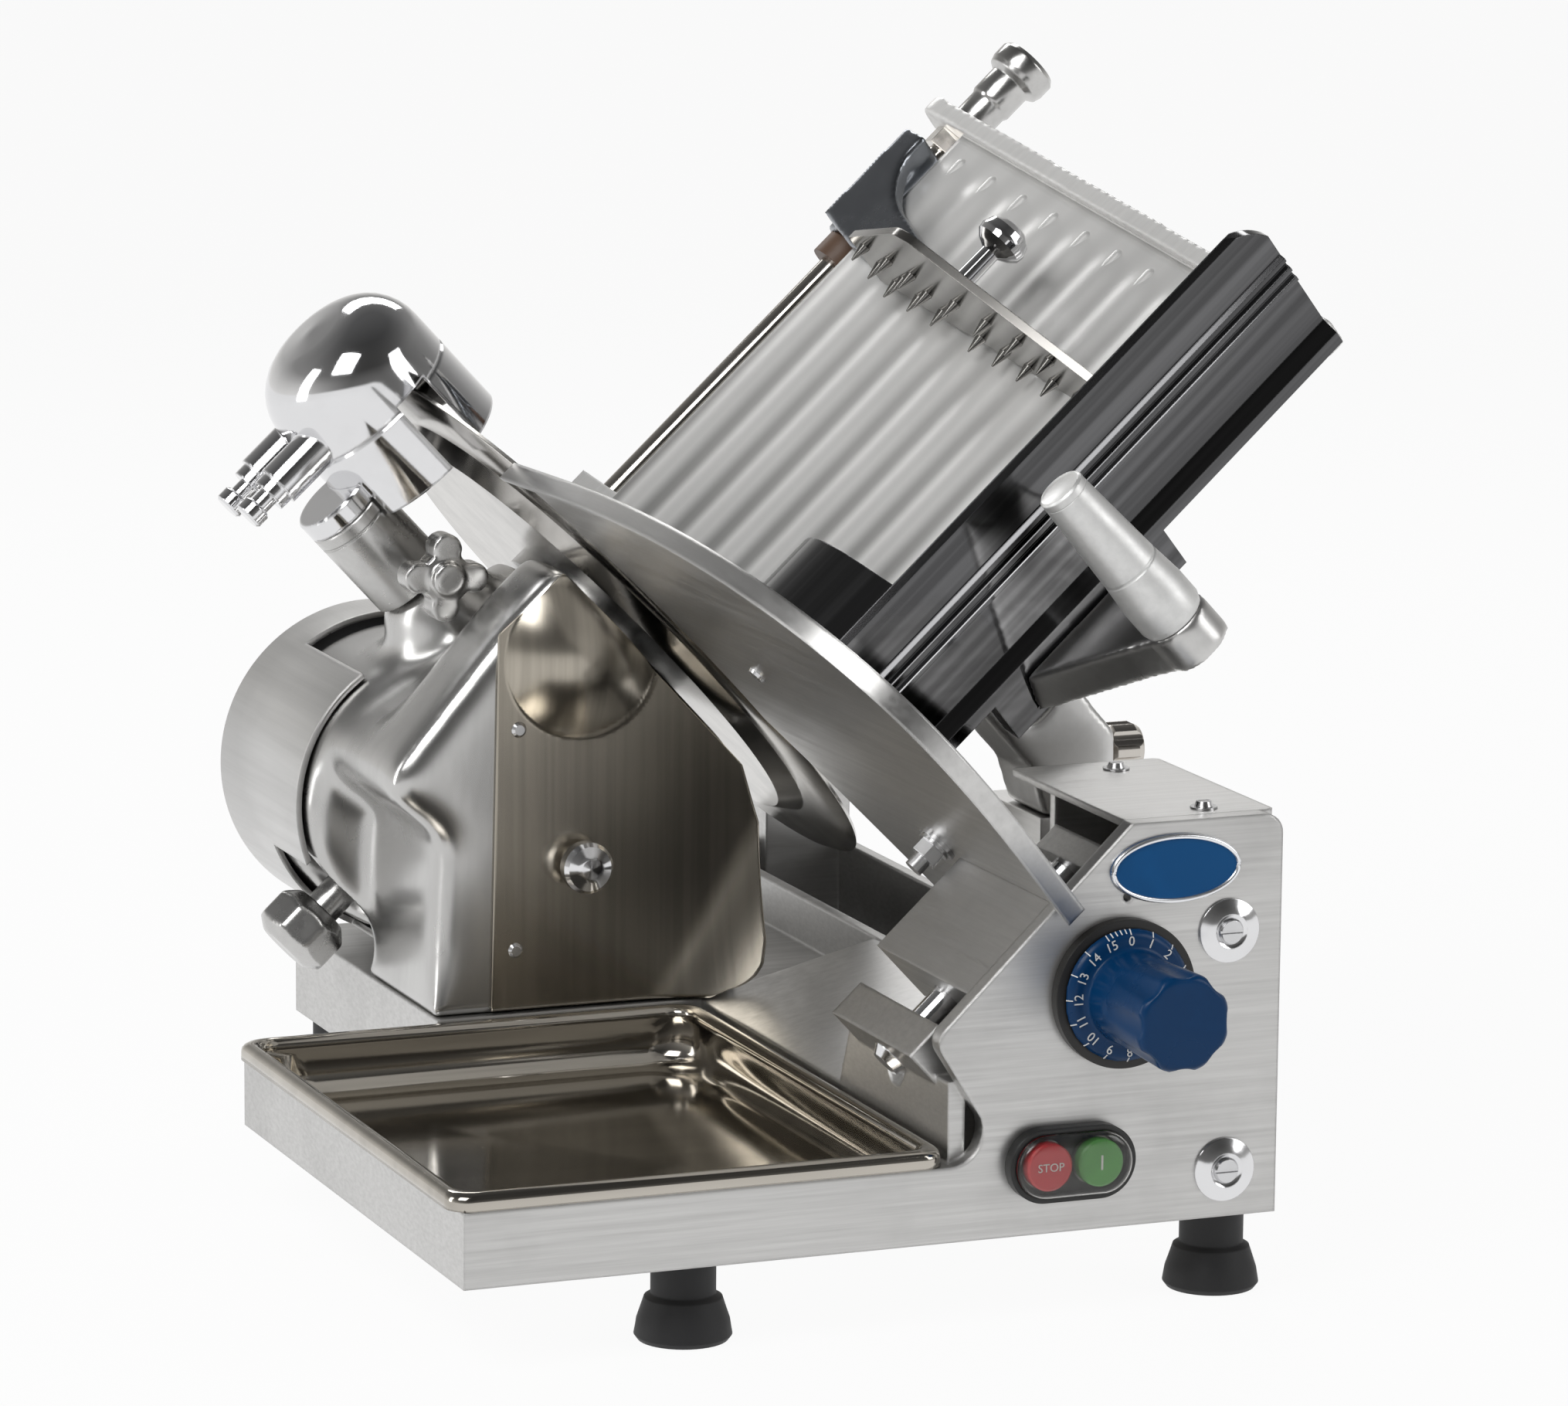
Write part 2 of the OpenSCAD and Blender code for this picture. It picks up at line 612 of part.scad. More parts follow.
module rod_knob() color("silver") on_chute() translate([slide_x, slide_y, chute_end + bar_w])
  difference() {
    rotate_extrude() polygon([[0, 0], [9, 0], [9, 12], [10, 14], [10, 26], [13, 28], [14, 31], [14, 37],
      [12.5, 39], [0, 39]]);
    translate([0, 0, -1]) cylinder(d = slide_d + 2 * fit, h = slide_top - chute_end - bar_w + 1);
  }

module pusher_bush() color("peru") on_chute() translate([slide_x, slide_y, bush_n]) difference() {
  union() {
    cylinder(r = sleeve_r - 2.5, h = bush_l);
    cylinder(r = sleeve_r - 4, h = bush_l + sleeve_l);
  }
  translate([0, 0, -1]) cylinder(d = slide_d + 2 * fit, h = 200);
}

plate_n = bush_n + 1;
plate_outline = concat([[-4, 216], [-4, 40]], arc([-24, 52], 12, -90, -150, 4),
  arc([-46, 150], 24, 210, 160, 4), [[-34, 216]]);

// Arm: a sleeve on the bush with a web that sweeps down to the plate
module pusher_arm() color("lightslategray") on_chute() difference() {
  union() {
    translate([slide_x, slide_y, bush_n + bush_l + 0.2]) {
      cylinder(r = sleeve_r, h = sleeve_l - 0.2);
      translate([-sleeve_r - web_t - 3, -sleeve_r + 0.5, 0])
        cube([sleeve_r + web_t + 3, sleeve_r, sleeve_l - 0.2]);
    }
    translate([slide_x - sleeve_r - web_t - 3, 0, 0]) rotate([90, 0, 90]) linear_extrude(web_t)
      polygon(concat([[slide_y - 2, bush_n + bush_l + 0.2 + sleeve_l - 10]],
        arc([slide_y - 46, bush_n + bush_l + sleeve_l - 2], 34, 0, -70, 7),
        [[190, bush_n + 18], [190, plate_n + pusher_t], [slide_y - 26, plate_n + pusher_t],
          [slide_y - 2, bush_n + bush_l + 0.2]]));
  }
  translate([slide_x, slide_y, 0]) cylinder(r = sleeve_r - 4 + fit, h = 900);
}

spikes = concat([for (i = [0:2], j = [0:2]) [-12 - 11 * i, 164 + 17 * j + 3 * i]],
  [for (j = [0:5]) [-9, 54 + 17 * j]], [for (j = [0:3]) [-32, 74 + 22 * j]]);

module pusher_plate() color("lightgray") on_chute() {
  translate([0, 0, plate_n]) linear_extrude(pusher_t) polygon(plate_outline);
  for (p = spikes) translate([p.x, p.y, plate_n - spike_h]) cylinder(r1 = 0.4, r2 = 2.6, h = spike_h);
}

module pusher_knob() color("gainsboro") on_chute() translate([-34, 144, plate_n + pusher_t])
  rotate_extrude() polygon([[0, 0], [7, 0], [6, 2], [4.5, 4], [4.2, 22], [8, 24], [11, 27], [11.5, 30],
    [10, 34], [6, 37], [0, 38]]);

// Column with the knife, its drive and its motor

housing_r = motor_r - motor_wall - 0.2;
housing_y = column_y + 87;
bearing_r = 30;
cavity_low = motor_n - pinion_r - 6;
cavity_high = pitch_n + 12;
column_left = concat([[deck_x, deck_top], [deck_x + 2, deck_top + 50]],
  arc([deck_x - 6, deck_top + 72], 10, -20, 30, 4), arc([deck_x - 3, deck_top + 100], 16, 205, 130, 5));

// Frame of the sharpener's post, local z up the slope
module on_post() sloped() translate([0, post_y, post_n]) rotate([0, -90, 0]) children();

module column_casting() color("silver") difference() {
  union() {
    across(column_y, 48) polygon(concat(column_left,
      [at(column_n - 30, 97), at(column_n, 97), at(column_n, -20), [222, deck_top]]));
    across(column_y + 47, housing_y - column_y - 47) polygon(concat(column_left,
      [at(column_n - 40, 76), at(column_n, 76), at(column_n, -20), [222, deck_top]]));
    on_motor() translate([0, 0, housing_y - 1]) cylinder(r = housing_r, h = column_back - housing_y + 1);
    on_knife() translate([0, 0, motor_n]) cylinder(r = gear_cavity + 8, h = column_n - motor_n);
    on_post() {
      translate([0, 0, knife_s + 10])
        cylinder(r1 = post_d / 2 + 14, r2 = post_d / 2 + 9, h = post_s - knife_s - 26);
      translate([0, 0, post_s - 16]) cylinder(r1 = post_d / 2 + 9, r2 = post_d / 2, h = 16);
    }
  }
  on_knife() {
    translate([0, 0, cavity_low]) cylinder(r = gear_cavity, h = cavity_high - cavity_low);
    translate([0, 0, motor_n]) cylinder(r = shaft_r + 1, h = 200);
    translate([0, 0, cavity_high + 5]) cylinder(r = bearing_r + fit, h = 200);
    cylinder(r = tie_r + 1, h = motor_n);
    cylinder(r = 24, h = collar_n);
  }
  on_motor() translate([0, 0, knife_y]) cylinder(r = 8, h = 100);
  sloped() translate([-300, 0, column_n]) cube([600, 600, 100]);
}

module shaft_bearings() color("gainsboro") on_knife() for (n = [cavity_high + 5, column_n - 14])
  translate([0, 0, n]) difference() {
    cylinder(r = bearing_r, h = 14);
    translate([0, 0, -1]) cylinder(r = shaft_r + fit, h = 16);
  }

hub_n = plane_n - 9.5;

module knife_shaft() color("gainsboro") on_knife() difference() {
  union() {
    translate([0, 0, motor_n - 3]) cylinder(r = shaft_r, h = hub_n - motor_n + 3);
    translate([0, 0, column_n + 2]) cylinder(r = 46, h = hub_n - column_n - 2);
  }
  cylinder(r = tie_r + 1, h = 400);
}

crown_web = pitch_n + tooth_h + 0.6;

module crown_gear() color("goldenrod") on_knife() {
  difference() {
    translate([0, 0, crown_web]) cylinder(r = crown_r + gear_face / 2 + 2, h = 8);
    translate([0, 0, crown_web - 1]) cylinder(r = shaft_r + fit, h = 10);
  }
  for (k = [0:crown_teeth - 1]) rotate([0, 0, (k + 0.5) * 360 / crown_teeth])
    translate([crown_r - gear_face / 2, 0, crown_web]) rotate([90, 0, 90]) linear_extrude(gear_face)
      polygon(gear_module * [[-0.85, 0.05], [-0.3, -1.75], [0.3, -1.75], [0.85, 0.05]]);
}

module motor_rotor() color("slategray") on_motor() {
  translate([0, 0, knife_y + crown_r - gear_face / 2]) cylinder(r = 6, h = motor_back - knife_y - crown_r);
  translate([0, 0, column_back + 6]) cylinder(r = rotor_r, h = motor_back - column_back - 16);
  translate([0, 0, knife_y + crown_r - gear_face / 2]) linear_extrude(gear_face) {
    circle(pinion_r - tooth_h - 0.3);
    for (k = [1:pinion_teeth]) rotate(k * 360 / pinion_teeth)
      polygon([[pinion_r - tooth_h - 1, -0.85 * gear_module], [pinion_r + tooth_h, -0.3 * gear_module],
        [pinion_r + tooth_h, 0.3 * gear_module], [pinion_r - tooth_h - 1, 0.85 * gear_module]]);
  }
}

module motor_stator() color("dimgray") on_motor() translate([0, 0, column_back + 4]) difference() {
  cylinder(r = housing_r, h = motor_back - column_back - 12);
  translate([0, 0, -1]) cylinder(r = rotor_r + 1, h = 200);
}

dome = 15;

module motor_cover() color("lightgray") difference() {
  on_motor() rotate_extrude() polygon([[motor_r - motor_wall, motor_front], [motor_r, motor_front],
    [motor_r, motor_back], [motor_r - 3, motor_back + 7], [motor_r - 12, motor_back + 12],
    [motor_r - 30, motor_back + dome], [0, motor_back + dome], [0, motor_back + dome - motor_wall],
    [motor_r - 30, motor_back + dome - motor_wall], [motor_r - 13, motor_back + 9],
    [motor_r - 5.5, motor_back + 5],
    [motor_r - motor_wall, motor_back - 1]]);
  sloped() {
    translate([-400, 0, motor_n + 10]) cube([800, column_back + 1, 300]);
    translate([-knife_s - 26, 0, 0]) cube([52, knife_y + 28, collar_n + 8]);
  }
}

module knife() color("gainsboro") on_knife() translate([0, 0, plane_n]) rotate_extrude($fn = 128)
  polygon([[22, -9.5], [knife_r - 38, -9.5], [knife_r - 29, -3], [knife_r - 5, -3], [knife_r, -0.3],
    [knife_r, 0], [knife_r - 1.5, 1.6], [knife_r - 24, 2], [knife_r - 32, -4.5], [22, -4.5]]);

module knife_cover() color("lightgray") on_knife() translate([0, 0, plane_n]) rotate_extrude($fn = 128)
  polygon([[0, -4], [knife_r - 33.5, -4], [knife_r - 27.5, 1], [knife_r - 29, 1.6], [60, 1.6],
    [50, 0.6], [0, 0.6]]);

module tie_rod() color("gainsboro") on_knife() {
  translate([0, 0, collar_n - 50]) cylinder(r = tie_r, h = plane_n - 4 - collar_n + 50);
  translate([0, 0, collar_n - 7]) cylinder(r = tie_r + 8.5, h = 6.6);
  translate([0, 0, collar_n - 11]) cylinder(r = tie_r + 4, h = 5);
}

knob_flat = 19;

module tie_knob() color("gainsboro") on_knife() translate([0, 0, collar_n - 64]) difference() {
  intersection() {
    cylinder(r = knob_flat, h = 24, $fn = 8);
    rotate_extrude() polygon([[0, 0], [12, 0], [knob_flat, 5], [knob_flat, 17], [12, 24], [0, 24]]);
  }
  translate([0, 0, 14]) cylinder(r = tie_r + fit, h = 20);
}

// Deflector that turns the slices down into the tray

sheet = 1.6;
bulge_at = [150, 222];
bulge_r = 34;

module slice_deflector() color("tan") difference() {
  union() {
    across(column_y - sheet, sheet) polygon(concat([[110, deck_top + 1], [113, 238]],
      [at(column_n - 3, 95), at(column_n - 3, -24), [231, 150]],
      arc([208, deck_top + 26], 22, 0, -80, 8)));
    intersection() {
      placed() translate([bulge_at.x, column_y + 20, bulge_at.y]) sphere(bulge_r);
      across(column_y - 20, 20 - sheet / 2) square(400);
      sloped() translate([-400, 0, 0]) cube([800, 400, column_n - 3]);
    }
  }
  bar_y(149, column_y - 10, 138, 4, 20);
}

rivets = [[122, 197], [120.7, 102]];

module deflector_rivets() color("gainsboro") placed() for (p = rivets)
  translate([p.x, column_y - sheet, p.y]) rotate([90, 0, 0]) cylinder(r1 = 3.4, r2 = 2.2, h = 1.4);

module deflector_knob() color("gainsboro") placed() translate([149, column_y - sheet - clear, 138])
  rotate([90, 0, 0]) rotate_extrude()
    polygon([[0, 0], [6, 0], [6, 4], [9.5, 5], [11, 7], [11, 12], [9.5, 14], [5, 15.4], [0, 15.8]]);

// Sharpener on its post

stem_r = 9;
cap_t = 9;
stem_low = post_s + 6;
barrel_s = sharp_s + 42;
barrel_gap = 14;
barrel_n = sharp_n - sharp_d / 2;

module sharpener_post() color("silver") on_post() difference() {
  translate([0, 0, post_s]) rotate_extrude() polygon([[0, 0], [post_d / 2, 0], [post_d / 2, post_l - 7],
    [post_d / 2 - 0.6, post_l - 6.6], [post_d / 2 - 0.6, post_l - 6], [post_d / 2, post_l - 5.6],
    [post_d / 2, post_l - 1], [post_d / 2 - 1, post_l], [0, post_l]]);
  translate([0, 0, stem_low - 1]) cylinder(r = stem_r + fit, h = 100);
  translate([star_n - post_n, 0, star_s]) rotate([90, 0, 0]) cylinder(r = star_stud_r + fit, h = 60);
}

star_n = post_n + 6;
star_stud_r = 4;
star_s = post_s + 6;

module star_knob() color("silver") sloped() translate([-star_s, post_y - post_d / 2 - 13, star_n])
  rotate([90, 0, 0]) {
    translate([0, 0, 3]) linear_extrude(13) {
      circle(11);
      for (k = [0:3]) rotate(45 + 90 * k) translate([12.5, 0]) circle(6.5);
    }
    translate([0, 0, 2]) cylinder(r1 = 9, r2 = 7, h = 18);
    translate([0, 0, -post_d / 2 - 3]) cylinder(r = star_stud_r, h = post_d / 2 + 7);
  }

// Frame of the sharpener's housing, local z up the slope and local x along the knife axis
module on_sharpener() sloped() translate([0, sharp_y, sharp_n]) rotate([0, -90, 0]) children();

shell = 3;
sharp_r = sharp_d / 2;
dome_round = 25;
function dome_line(r, top) = concat(
  [[r, sharp_s], [r, sharp_s + 33], [r - 0.8, sharp_s + 34], [r, sharp_s + 35]],
  [for (a = [0:10:90]) [r - dome_round * (1 - cos(a)), top - 1 - dome_round * (1 - sin(a))]], [[0, top]]);

module sharpener_housing() color("gainsboro") difference() {
  union() {
    on_sharpener() rotate_extrude() polygon(concat([[0, sharp_s]], dome_line(sharp_r, sharp_s + 76)));
    for (side = [-1, 1]) sloped() translate([-barrel_s, sharp_y + side * barrel_gap, barrel_n - 24]) {
      cylinder(r = 8, h = 34);
      translate([0, 0, 6]) cylinder(r = 9.5, h = 28);
    }
  }
  on_sharpener() {
    rotate_extrude() polygon(concat([[0, sharp_s - 1], [sharp_r - shell, sharp_s - 1]],
      [for (p = dome_line(sharp_r - shell, sharp_s + 76 - shell)) p]));
    translate([plane_n - sharp_n - 12, -100, sharp_s - 1]) cube([18, 200, 38]);
  }
  on_post() translate([0, 0, sharp_s - 2])
    cylinder(r = post_d / 2 + 1.5, h = post_s + post_l + 3 - sharp_s);
  for (side = [-1, 1]) sloped() translate([-barrel_s, sharp_y + side * barrel_gap, barrel_n - 30])
    cylinder(r = 4.4 + fit, h = 60);
}

module sharpener_stem() color("gainsboro") difference() {
  union() {
    on_post() translate([0, 0, stem_low]) cylinder(r = stem_r, h = post_s + post_l + cap_t - stem_low);
    on_post() translate([0, 0, post_s + post_l + clear]) rotate_extrude()
      polygon([[0, 0], [post_d / 2, 0], [post_d / 2, cap_t - 1.4],
        [post_d / 2 - 1, cap_t - clear], [0, cap_t - clear]]);
  }
  on_sharpener() cylinder(r = sharp_r, h = 400);
}

// Plunger with a grinding stone on its inner end
module plunger(side) sloped() translate([-barrel_s, sharp_y + side * barrel_gap, barrel_n - 37]) {
  rotate_extrude() polygon([[0, 0], [5.5, 0], [6.5, 1], [6.5, 6], [5.5, 7], [0, 7]]);
  cylinder(r = 4.4, h = 65);
  translate([0, 0, 63]) cylinder(r = 11, h = 5);
}

module front_plunger() color("gainsboro") plunger(-1);

module rear_plunger() color("gainsboro") plunger(1);

// Push buttons

module switch_plate() color("dimgray") difference() {
  across(-6, 6) translate([switch_x, switch_z]) racetrack(switch_l, switch_w);
  across(-8, 6) translate([switch_x, switch_z]) racetrack(switch_l - 5, switch_w - 5);
  for (side = [-1, 1]) bar_y(switch_x + side * 11, -9, switch_z, 9.6 + clear, 12);
}

module button_head(side) placed() translate([switch_x + side * 11, 0, switch_z]) rotate([90, 0, 0])
  rotate_extrude() polygon([[0, press + 0.5], [9.6, press + 0.5], [9.6, 7.6], [8.8, 8.4], [0, 8.8]]);

module start_button() color("limegreen") {
  bar_y(switch_x + 11, -press - 1, switch_z, button_r, 20);
  button_head(1);
}

module stop_button() color("crimson") {
  bar_y(switch_x - 11, -press - 1, switch_z, button_r, 20);
  button_head(-1);
}

// Tray that catches the slices

tray_over = 5;
tray_floor = underside + 10;
tray_t = 1.5;
rim_top = wall_top + 7.5;
tray_gap = 2;
tray_front = panel_t + tray_gap;
tray_back = pan_d - wall - tray_gap;
tray_w = pan_w - 4 + tray_over;
tray_d = pan_d - 2;

module catch_tray() color("lightgray") placed() {
  difference() {
    union() {
      translate([wall + tray_gap, tray_front, tray_floor]) linear_extrude(wall_top - tray_floor + 0.5)
        rounded([pan_w - 2 * wall - 2 * tray_gap, tray_back - tray_front], 12);
      translate([-tray_over, -1, wall_top]) linear_extrude(rim_top - wall_top) rounded([tray_w, tray_d], 8);
    }
    translate([wall + tray_gap + tray_t, tray_front + tray_t, tray_floor + tray_t]) linear_extrude(99)
      rounded([pan_w - 2 * (wall + tray_gap + tray_t), tray_back - tray_front - 2 * tray_t], 11);
    translate([-tray_over + 2.4, 1.4, wall_top + tray_t]) linear_extrude(99)
      rounded([tray_w - 4.8, tray_d - 4.8], 6);
  }
}

base_casting();
bottom_sheet();
box_cover();
cover_screws();
rubber_feet();
foot_studs();
badge_plate();
dial_ring();
dial_knob();
dial_shaft();
index_cam();
gauge_plate();
gauge_carrier();
gauge_bolts();
cam_follower();
guide_bar();
carriage_rods();
rod_end_discs();
rod_end_screws();
slide_block();
slide_bushes();
chute_arm();
chute_table();
chute_end_bar();
chute_fence();
thumb_guard();
handle_bracket();
handle_grip();
handle_cap();
lock_knob();
slide_rod();
rod_knob();
pusher_bush();
pusher_arm();
pusher_plate();
pusher_knob();
column_casting();
shaft_bearings();
knife_shaft();
crown_gear();
knife();
knife_cover();
tie_rod();
tie_knob();
motor_cover();
motor_stator();
motor_rotor();
slice_deflector();
deflector_rivets();
deflector_knob();
sharpener_post();
star_knob();
sharpener_housing();
sharpener_stem();
front_plunger();
rear_plunger();
switch_plate();
start_button();
stop_button();
catch_tray();
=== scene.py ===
"""Looks of an electric food slicer: finishes, markings and soft-edged castings over its solids."""
import json
import math

import bpy
import numpy as np
from mathutils import Matrix, Vector


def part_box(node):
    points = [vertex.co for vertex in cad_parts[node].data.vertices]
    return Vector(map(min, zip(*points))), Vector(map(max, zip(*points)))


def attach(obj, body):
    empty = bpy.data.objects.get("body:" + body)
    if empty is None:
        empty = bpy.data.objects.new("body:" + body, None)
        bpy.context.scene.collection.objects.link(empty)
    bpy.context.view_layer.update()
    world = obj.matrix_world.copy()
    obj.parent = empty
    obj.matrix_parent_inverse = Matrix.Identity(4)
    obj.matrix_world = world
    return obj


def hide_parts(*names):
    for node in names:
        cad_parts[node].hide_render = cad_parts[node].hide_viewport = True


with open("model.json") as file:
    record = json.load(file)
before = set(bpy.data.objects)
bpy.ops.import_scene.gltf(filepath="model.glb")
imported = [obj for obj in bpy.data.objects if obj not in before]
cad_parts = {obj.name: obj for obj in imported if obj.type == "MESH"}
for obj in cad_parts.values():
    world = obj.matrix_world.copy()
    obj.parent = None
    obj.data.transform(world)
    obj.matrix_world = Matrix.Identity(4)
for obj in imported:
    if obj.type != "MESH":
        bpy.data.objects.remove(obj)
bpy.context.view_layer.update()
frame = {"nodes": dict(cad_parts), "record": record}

bl_info = {
    "name": "Food Slicer Looks",
    "version": (1, 0, 0),
    "blender": (4, 5, 0),
    "location": "View3D > Sidebar > Slicer",
    "description": "Finishes, markings and soft-edged castings of an electric food slicer",
    "category": "Object",
}

BODY_OF = {n: b for b, ns in frame["record"]["behaviour"]["bodies"].items() for n in ns}
SLOT_OF = {s["node"]: s["material_slot"] for s in frame["record"]["subparts"]}
DRAWN_FROM = (-0.205, -0.240)  # place in the frame of the corner that drawn x and y count from
TILT = math.radians(43)  # rise of the chute above level
ALONG_AXIS = Vector((math.cos(TILT), 0, math.sin(TILT)))  # out along the chute
UP_SLOPE = Vector((-math.sin(TILT), 0, math.cos(TILT)))  # square to it and upward
LEAN = (0.0, TILT, 0.0)  # turn that lays a pattern along the chute
TABLE_TURN = math.radians(20)  # roll of the table about the chute's axis
RIB_PITCH = 0.0224  # of the table
SHARP_ANGLE = math.radians(32)  # edges that bend more stay sharp


class SlicerColours(bpy.types.PropertyGroup):
    """Colours of the slicer's finishes"""
    alloy: bpy.props.FloatVectorProperty(
        name="Cast alloy", description="Brushed base, motor cover, gauge plate and arm", subtype="COLOR",
        default=(0.60, 0.595, 0.585))
    satin: bpy.props.FloatVectorProperty(
        name="Satin casting", description="Column, post, shafts and clamp knobs", subtype="COLOR",
        default=(0.56, 0.555, 0.545))
    steel: bpy.props.FloatVectorProperty(
        name="Stainless", description="Knife, its cover, pusher plate and bottom sheet", subtype="COLOR",
        default=(0.52, 0.505, 0.48))
    chrome: bpy.props.FloatVectorProperty(
        name="Chrome", description="Sharpener, discs and knobs", subtype="COLOR",
        default=(0.74, 0.74, 0.75))
    polished: bpy.props.FloatVectorProperty(
        name="Dark polish", description="Fence and thumb guard", subtype="COLOR",
        default=(0.075, 0.075, 0.077))
    blue: bpy.props.FloatVectorProperty(
        name="Blue", description="Dial knob", subtype="COLOR",
        default=(0.0006, 0.036, 0.118))
    red: bpy.props.FloatVectorProperty(
        name="Red", description="Stop button", subtype="COLOR", default=(0.62, 0.05, 0.06))
    green: bpy.props.FloatVectorProperty(
        name="Green", description="Start button", subtype="COLOR", default=(0.10, 0.36, 0.08))


class SlicerSizes(bpy.types.PropertyGroup):
    """Sizes of the small pieces"""
    numeral: bpy.props.FloatProperty(
        name="Numeral height", description="Height of the dial's numbers", default=0.0039,
        min=0.003, max=0.008, subtype="DISTANCE")
    badge_rim: bpy.props.FloatProperty(
        name="Badge rim", description="Radius of the badge's bright rim", default=0.0011,
        min=0.0005, max=0.002, subtype="DISTANCE")
    tray_roll: bpy.props.FloatProperty(
        name="Tray roll", description="Radius of the tray's rolled lip", default=0.0036,
        min=0.002, max=0.004, subtype="DISTANCE")
    boss: bpy.props.FloatProperty(
        name="Boss radius", description="Radius of the deflector's pressed boss", default=0.034,
        min=0.02, max=0.04, subtype="DISTANCE")
    casting_step: bpy.props.FloatProperty(
        name="Casting step", description="Grid step of the soft-edged castings", default=0.0022,
        min=0.0015, max=0.004, subtype="DISTANCE")


class Finish:
    """A procedural material: the shader's sockets plus helpers that add nodes on Object coordinates."""

    def __init__(self, name, colour, rough, metal=1.0):
        self.mat = bpy.data.materials.new(name)
        self.mat.use_nodes = True
        self.nodes = self.mat.node_tree.nodes
        self.links = self.mat.node_tree.links
        self.skin = self.nodes["Principled BSDF"]
        self.colour = tuple(colour)
        self.rough = rough
        self.skin.inputs["Base Color"].default_value = (*self.colour, 1)
        self.skin.inputs["Roughness"].default_value = rough
        self.skin.inputs["Metallic"].default_value = metal
        self.where = self.add("ShaderNodeTexCoord")
        self.tint = None
        self.matte = None
        self.relief = None

    def add(self, kind, **sockets):
        """A new node with values for its sockets."""
        node = self.nodes.new(kind)
        for key, value in sockets.items():
            node.inputs[key.replace("_", " ")].default_value = value
        return node

    def noise(self, scale, stretch=(1, 1, 1), turn=(0, 0, 0), detail=3.0, rough=0.55):
        """Fractal noise at scale per metre, turned and then stretched by Mapping nodes."""
        spot = self.where.outputs["Object"]
        place = self.add("ShaderNodeMapping")
        place.inputs["Scale"].default_value = stretch
        if any(turn):
            lean = self.add("ShaderNodeMapping")
            lean.inputs["Rotation"].default_value = turn
            self.links.new(spot, lean.inputs["Vector"])
            spot = lean.outputs["Vector"]
        self.links.new(spot, place.inputs["Vector"])
        node = self.add("ShaderNodeTexNoise", Scale=scale, Detail=detail, Roughness=rough)
        self.links.new(place.outputs["Vector"], node.inputs["Vector"])
        return node.outputs["Fac"]

    def span(self, source, low, high, to_low=0.0, to_high=1.0):
        """Clamped linear map of a value from low..high to to_low..to_high."""
        node = self.add("ShaderNodeMapRange")
        node.inputs["From Min"].default_value = low
        node.inputs["From Max"].default_value = high
        node.inputs["To Min"].default_value = to_low
        node.inputs["To Max"].default_value = to_high
        self.links.new(source, node.inputs["Value"])
        return node.outputs["Result"]

    def math(self, kind, a, b):
        """Result of an operation on two values, each a number or a socket."""
        node = self.add("ShaderNodeMath")
        node.operation = kind
        for i, v in enumerate((a, b)):
            if isinstance(v, (int, float)):
                node.inputs[i].default_value = v
            else:
                self.links.new(v, node.inputs[i])
        return node.outputs[0]

    def along(self, axis, start=0.0):
        """Distance in metres along an axis of the part's frame, from a start."""
        node = self.add("ShaderNodeVectorMath")
        node.operation = "DOT_PRODUCT"
        node.inputs[1].default_value = axis
        self.links.new(self.where.outputs["Object"], node.inputs[0])
        return self.math("ADD", node.outputs["Value"], -start)

    def stain(self, amount, colour):
        """Mixes a second colour into the base colour by amount, a value from 0 to 1."""
        node = self.add("ShaderNodeMix")
        node.data_type = "RGBA"
        node.inputs[6].default_value = (*self.colour, 1)
        node.inputs[7].default_value = (*colour, 1)
        if self.tint is not None:
            self.links.new(self.tint, node.inputs[6])
        self.links.new(amount, node.inputs[0])
        self.tint = node.outputs[2]
        return self

    def dull(self, value):
        """Adds a value to the roughness."""
        self.matte = self.math("ADD", value, self.rough if self.matte is None else self.matte)
        return self

    def bump(self, height, depth):
        """Adds a height map of that depth in metres to the surface."""
        node = self.add("ShaderNodeBump", Strength=1.0, Distance=depth)
        self.links.new(height, node.inputs["Height"])
        if self.relief is not None:
            self.links.new(self.relief, node.inputs["Normal"])
        self.relief = node.outputs["Normal"]
        return self

    def rounded(self, radius):
        """Shades sharp edges as if they had that radius."""
        node = self.add("ShaderNodeBevel", Radius=radius)
        node.samples = 4
        self.relief = node.outputs["Normal"]
        return self

    def done(self):
        """Links what was gathered to the shader and gives the material."""
        for source, socket in ((self.tint, "Base Color"), (self.matte, "Roughness"), (self.relief, "Normal")):
            if source is not None:
                self.links.new(source, self.skin.inputs[socket])
        return self.mat


def shades(colour, factor):
    """The colour made lighter or darker by a factor."""
    return tuple(min(1.0, c * factor) for c in colour)


def brushed(name, colour, rough, stretch, turn=(0, 0, 0), grain=0.05, smudge=0.35, edge=0.0, depth=2e-5,
            metal=1.0):
    """Brushed metal: fine streaks along the axis that stretch leaves long, with cloudy darker smudges."""
    f = Finish(name, colour, rough, metal)
    if edge:
        f.rounded(edge)
    streak = f.noise(1.0, stretch, turn, 4.0, 0.65)
    cloud = f.noise(9.0, detail=5.0, rough=0.6)
    f.stain(f.span(streak, 0.35, 0.70, 0.0, 0.30), shades(colour, 0.62))
    f.stain(f.span(cloud, 0.50, 0.78, 0.0, smudge), shades(colour, 0.55))
    f.dull(f.span(streak, 0.3, 0.7, -grain, grain))
    f.dull(f.span(cloud, 0.3, 0.8, -0.03, 0.06))
    f.bump(streak, depth)
    return f.done()


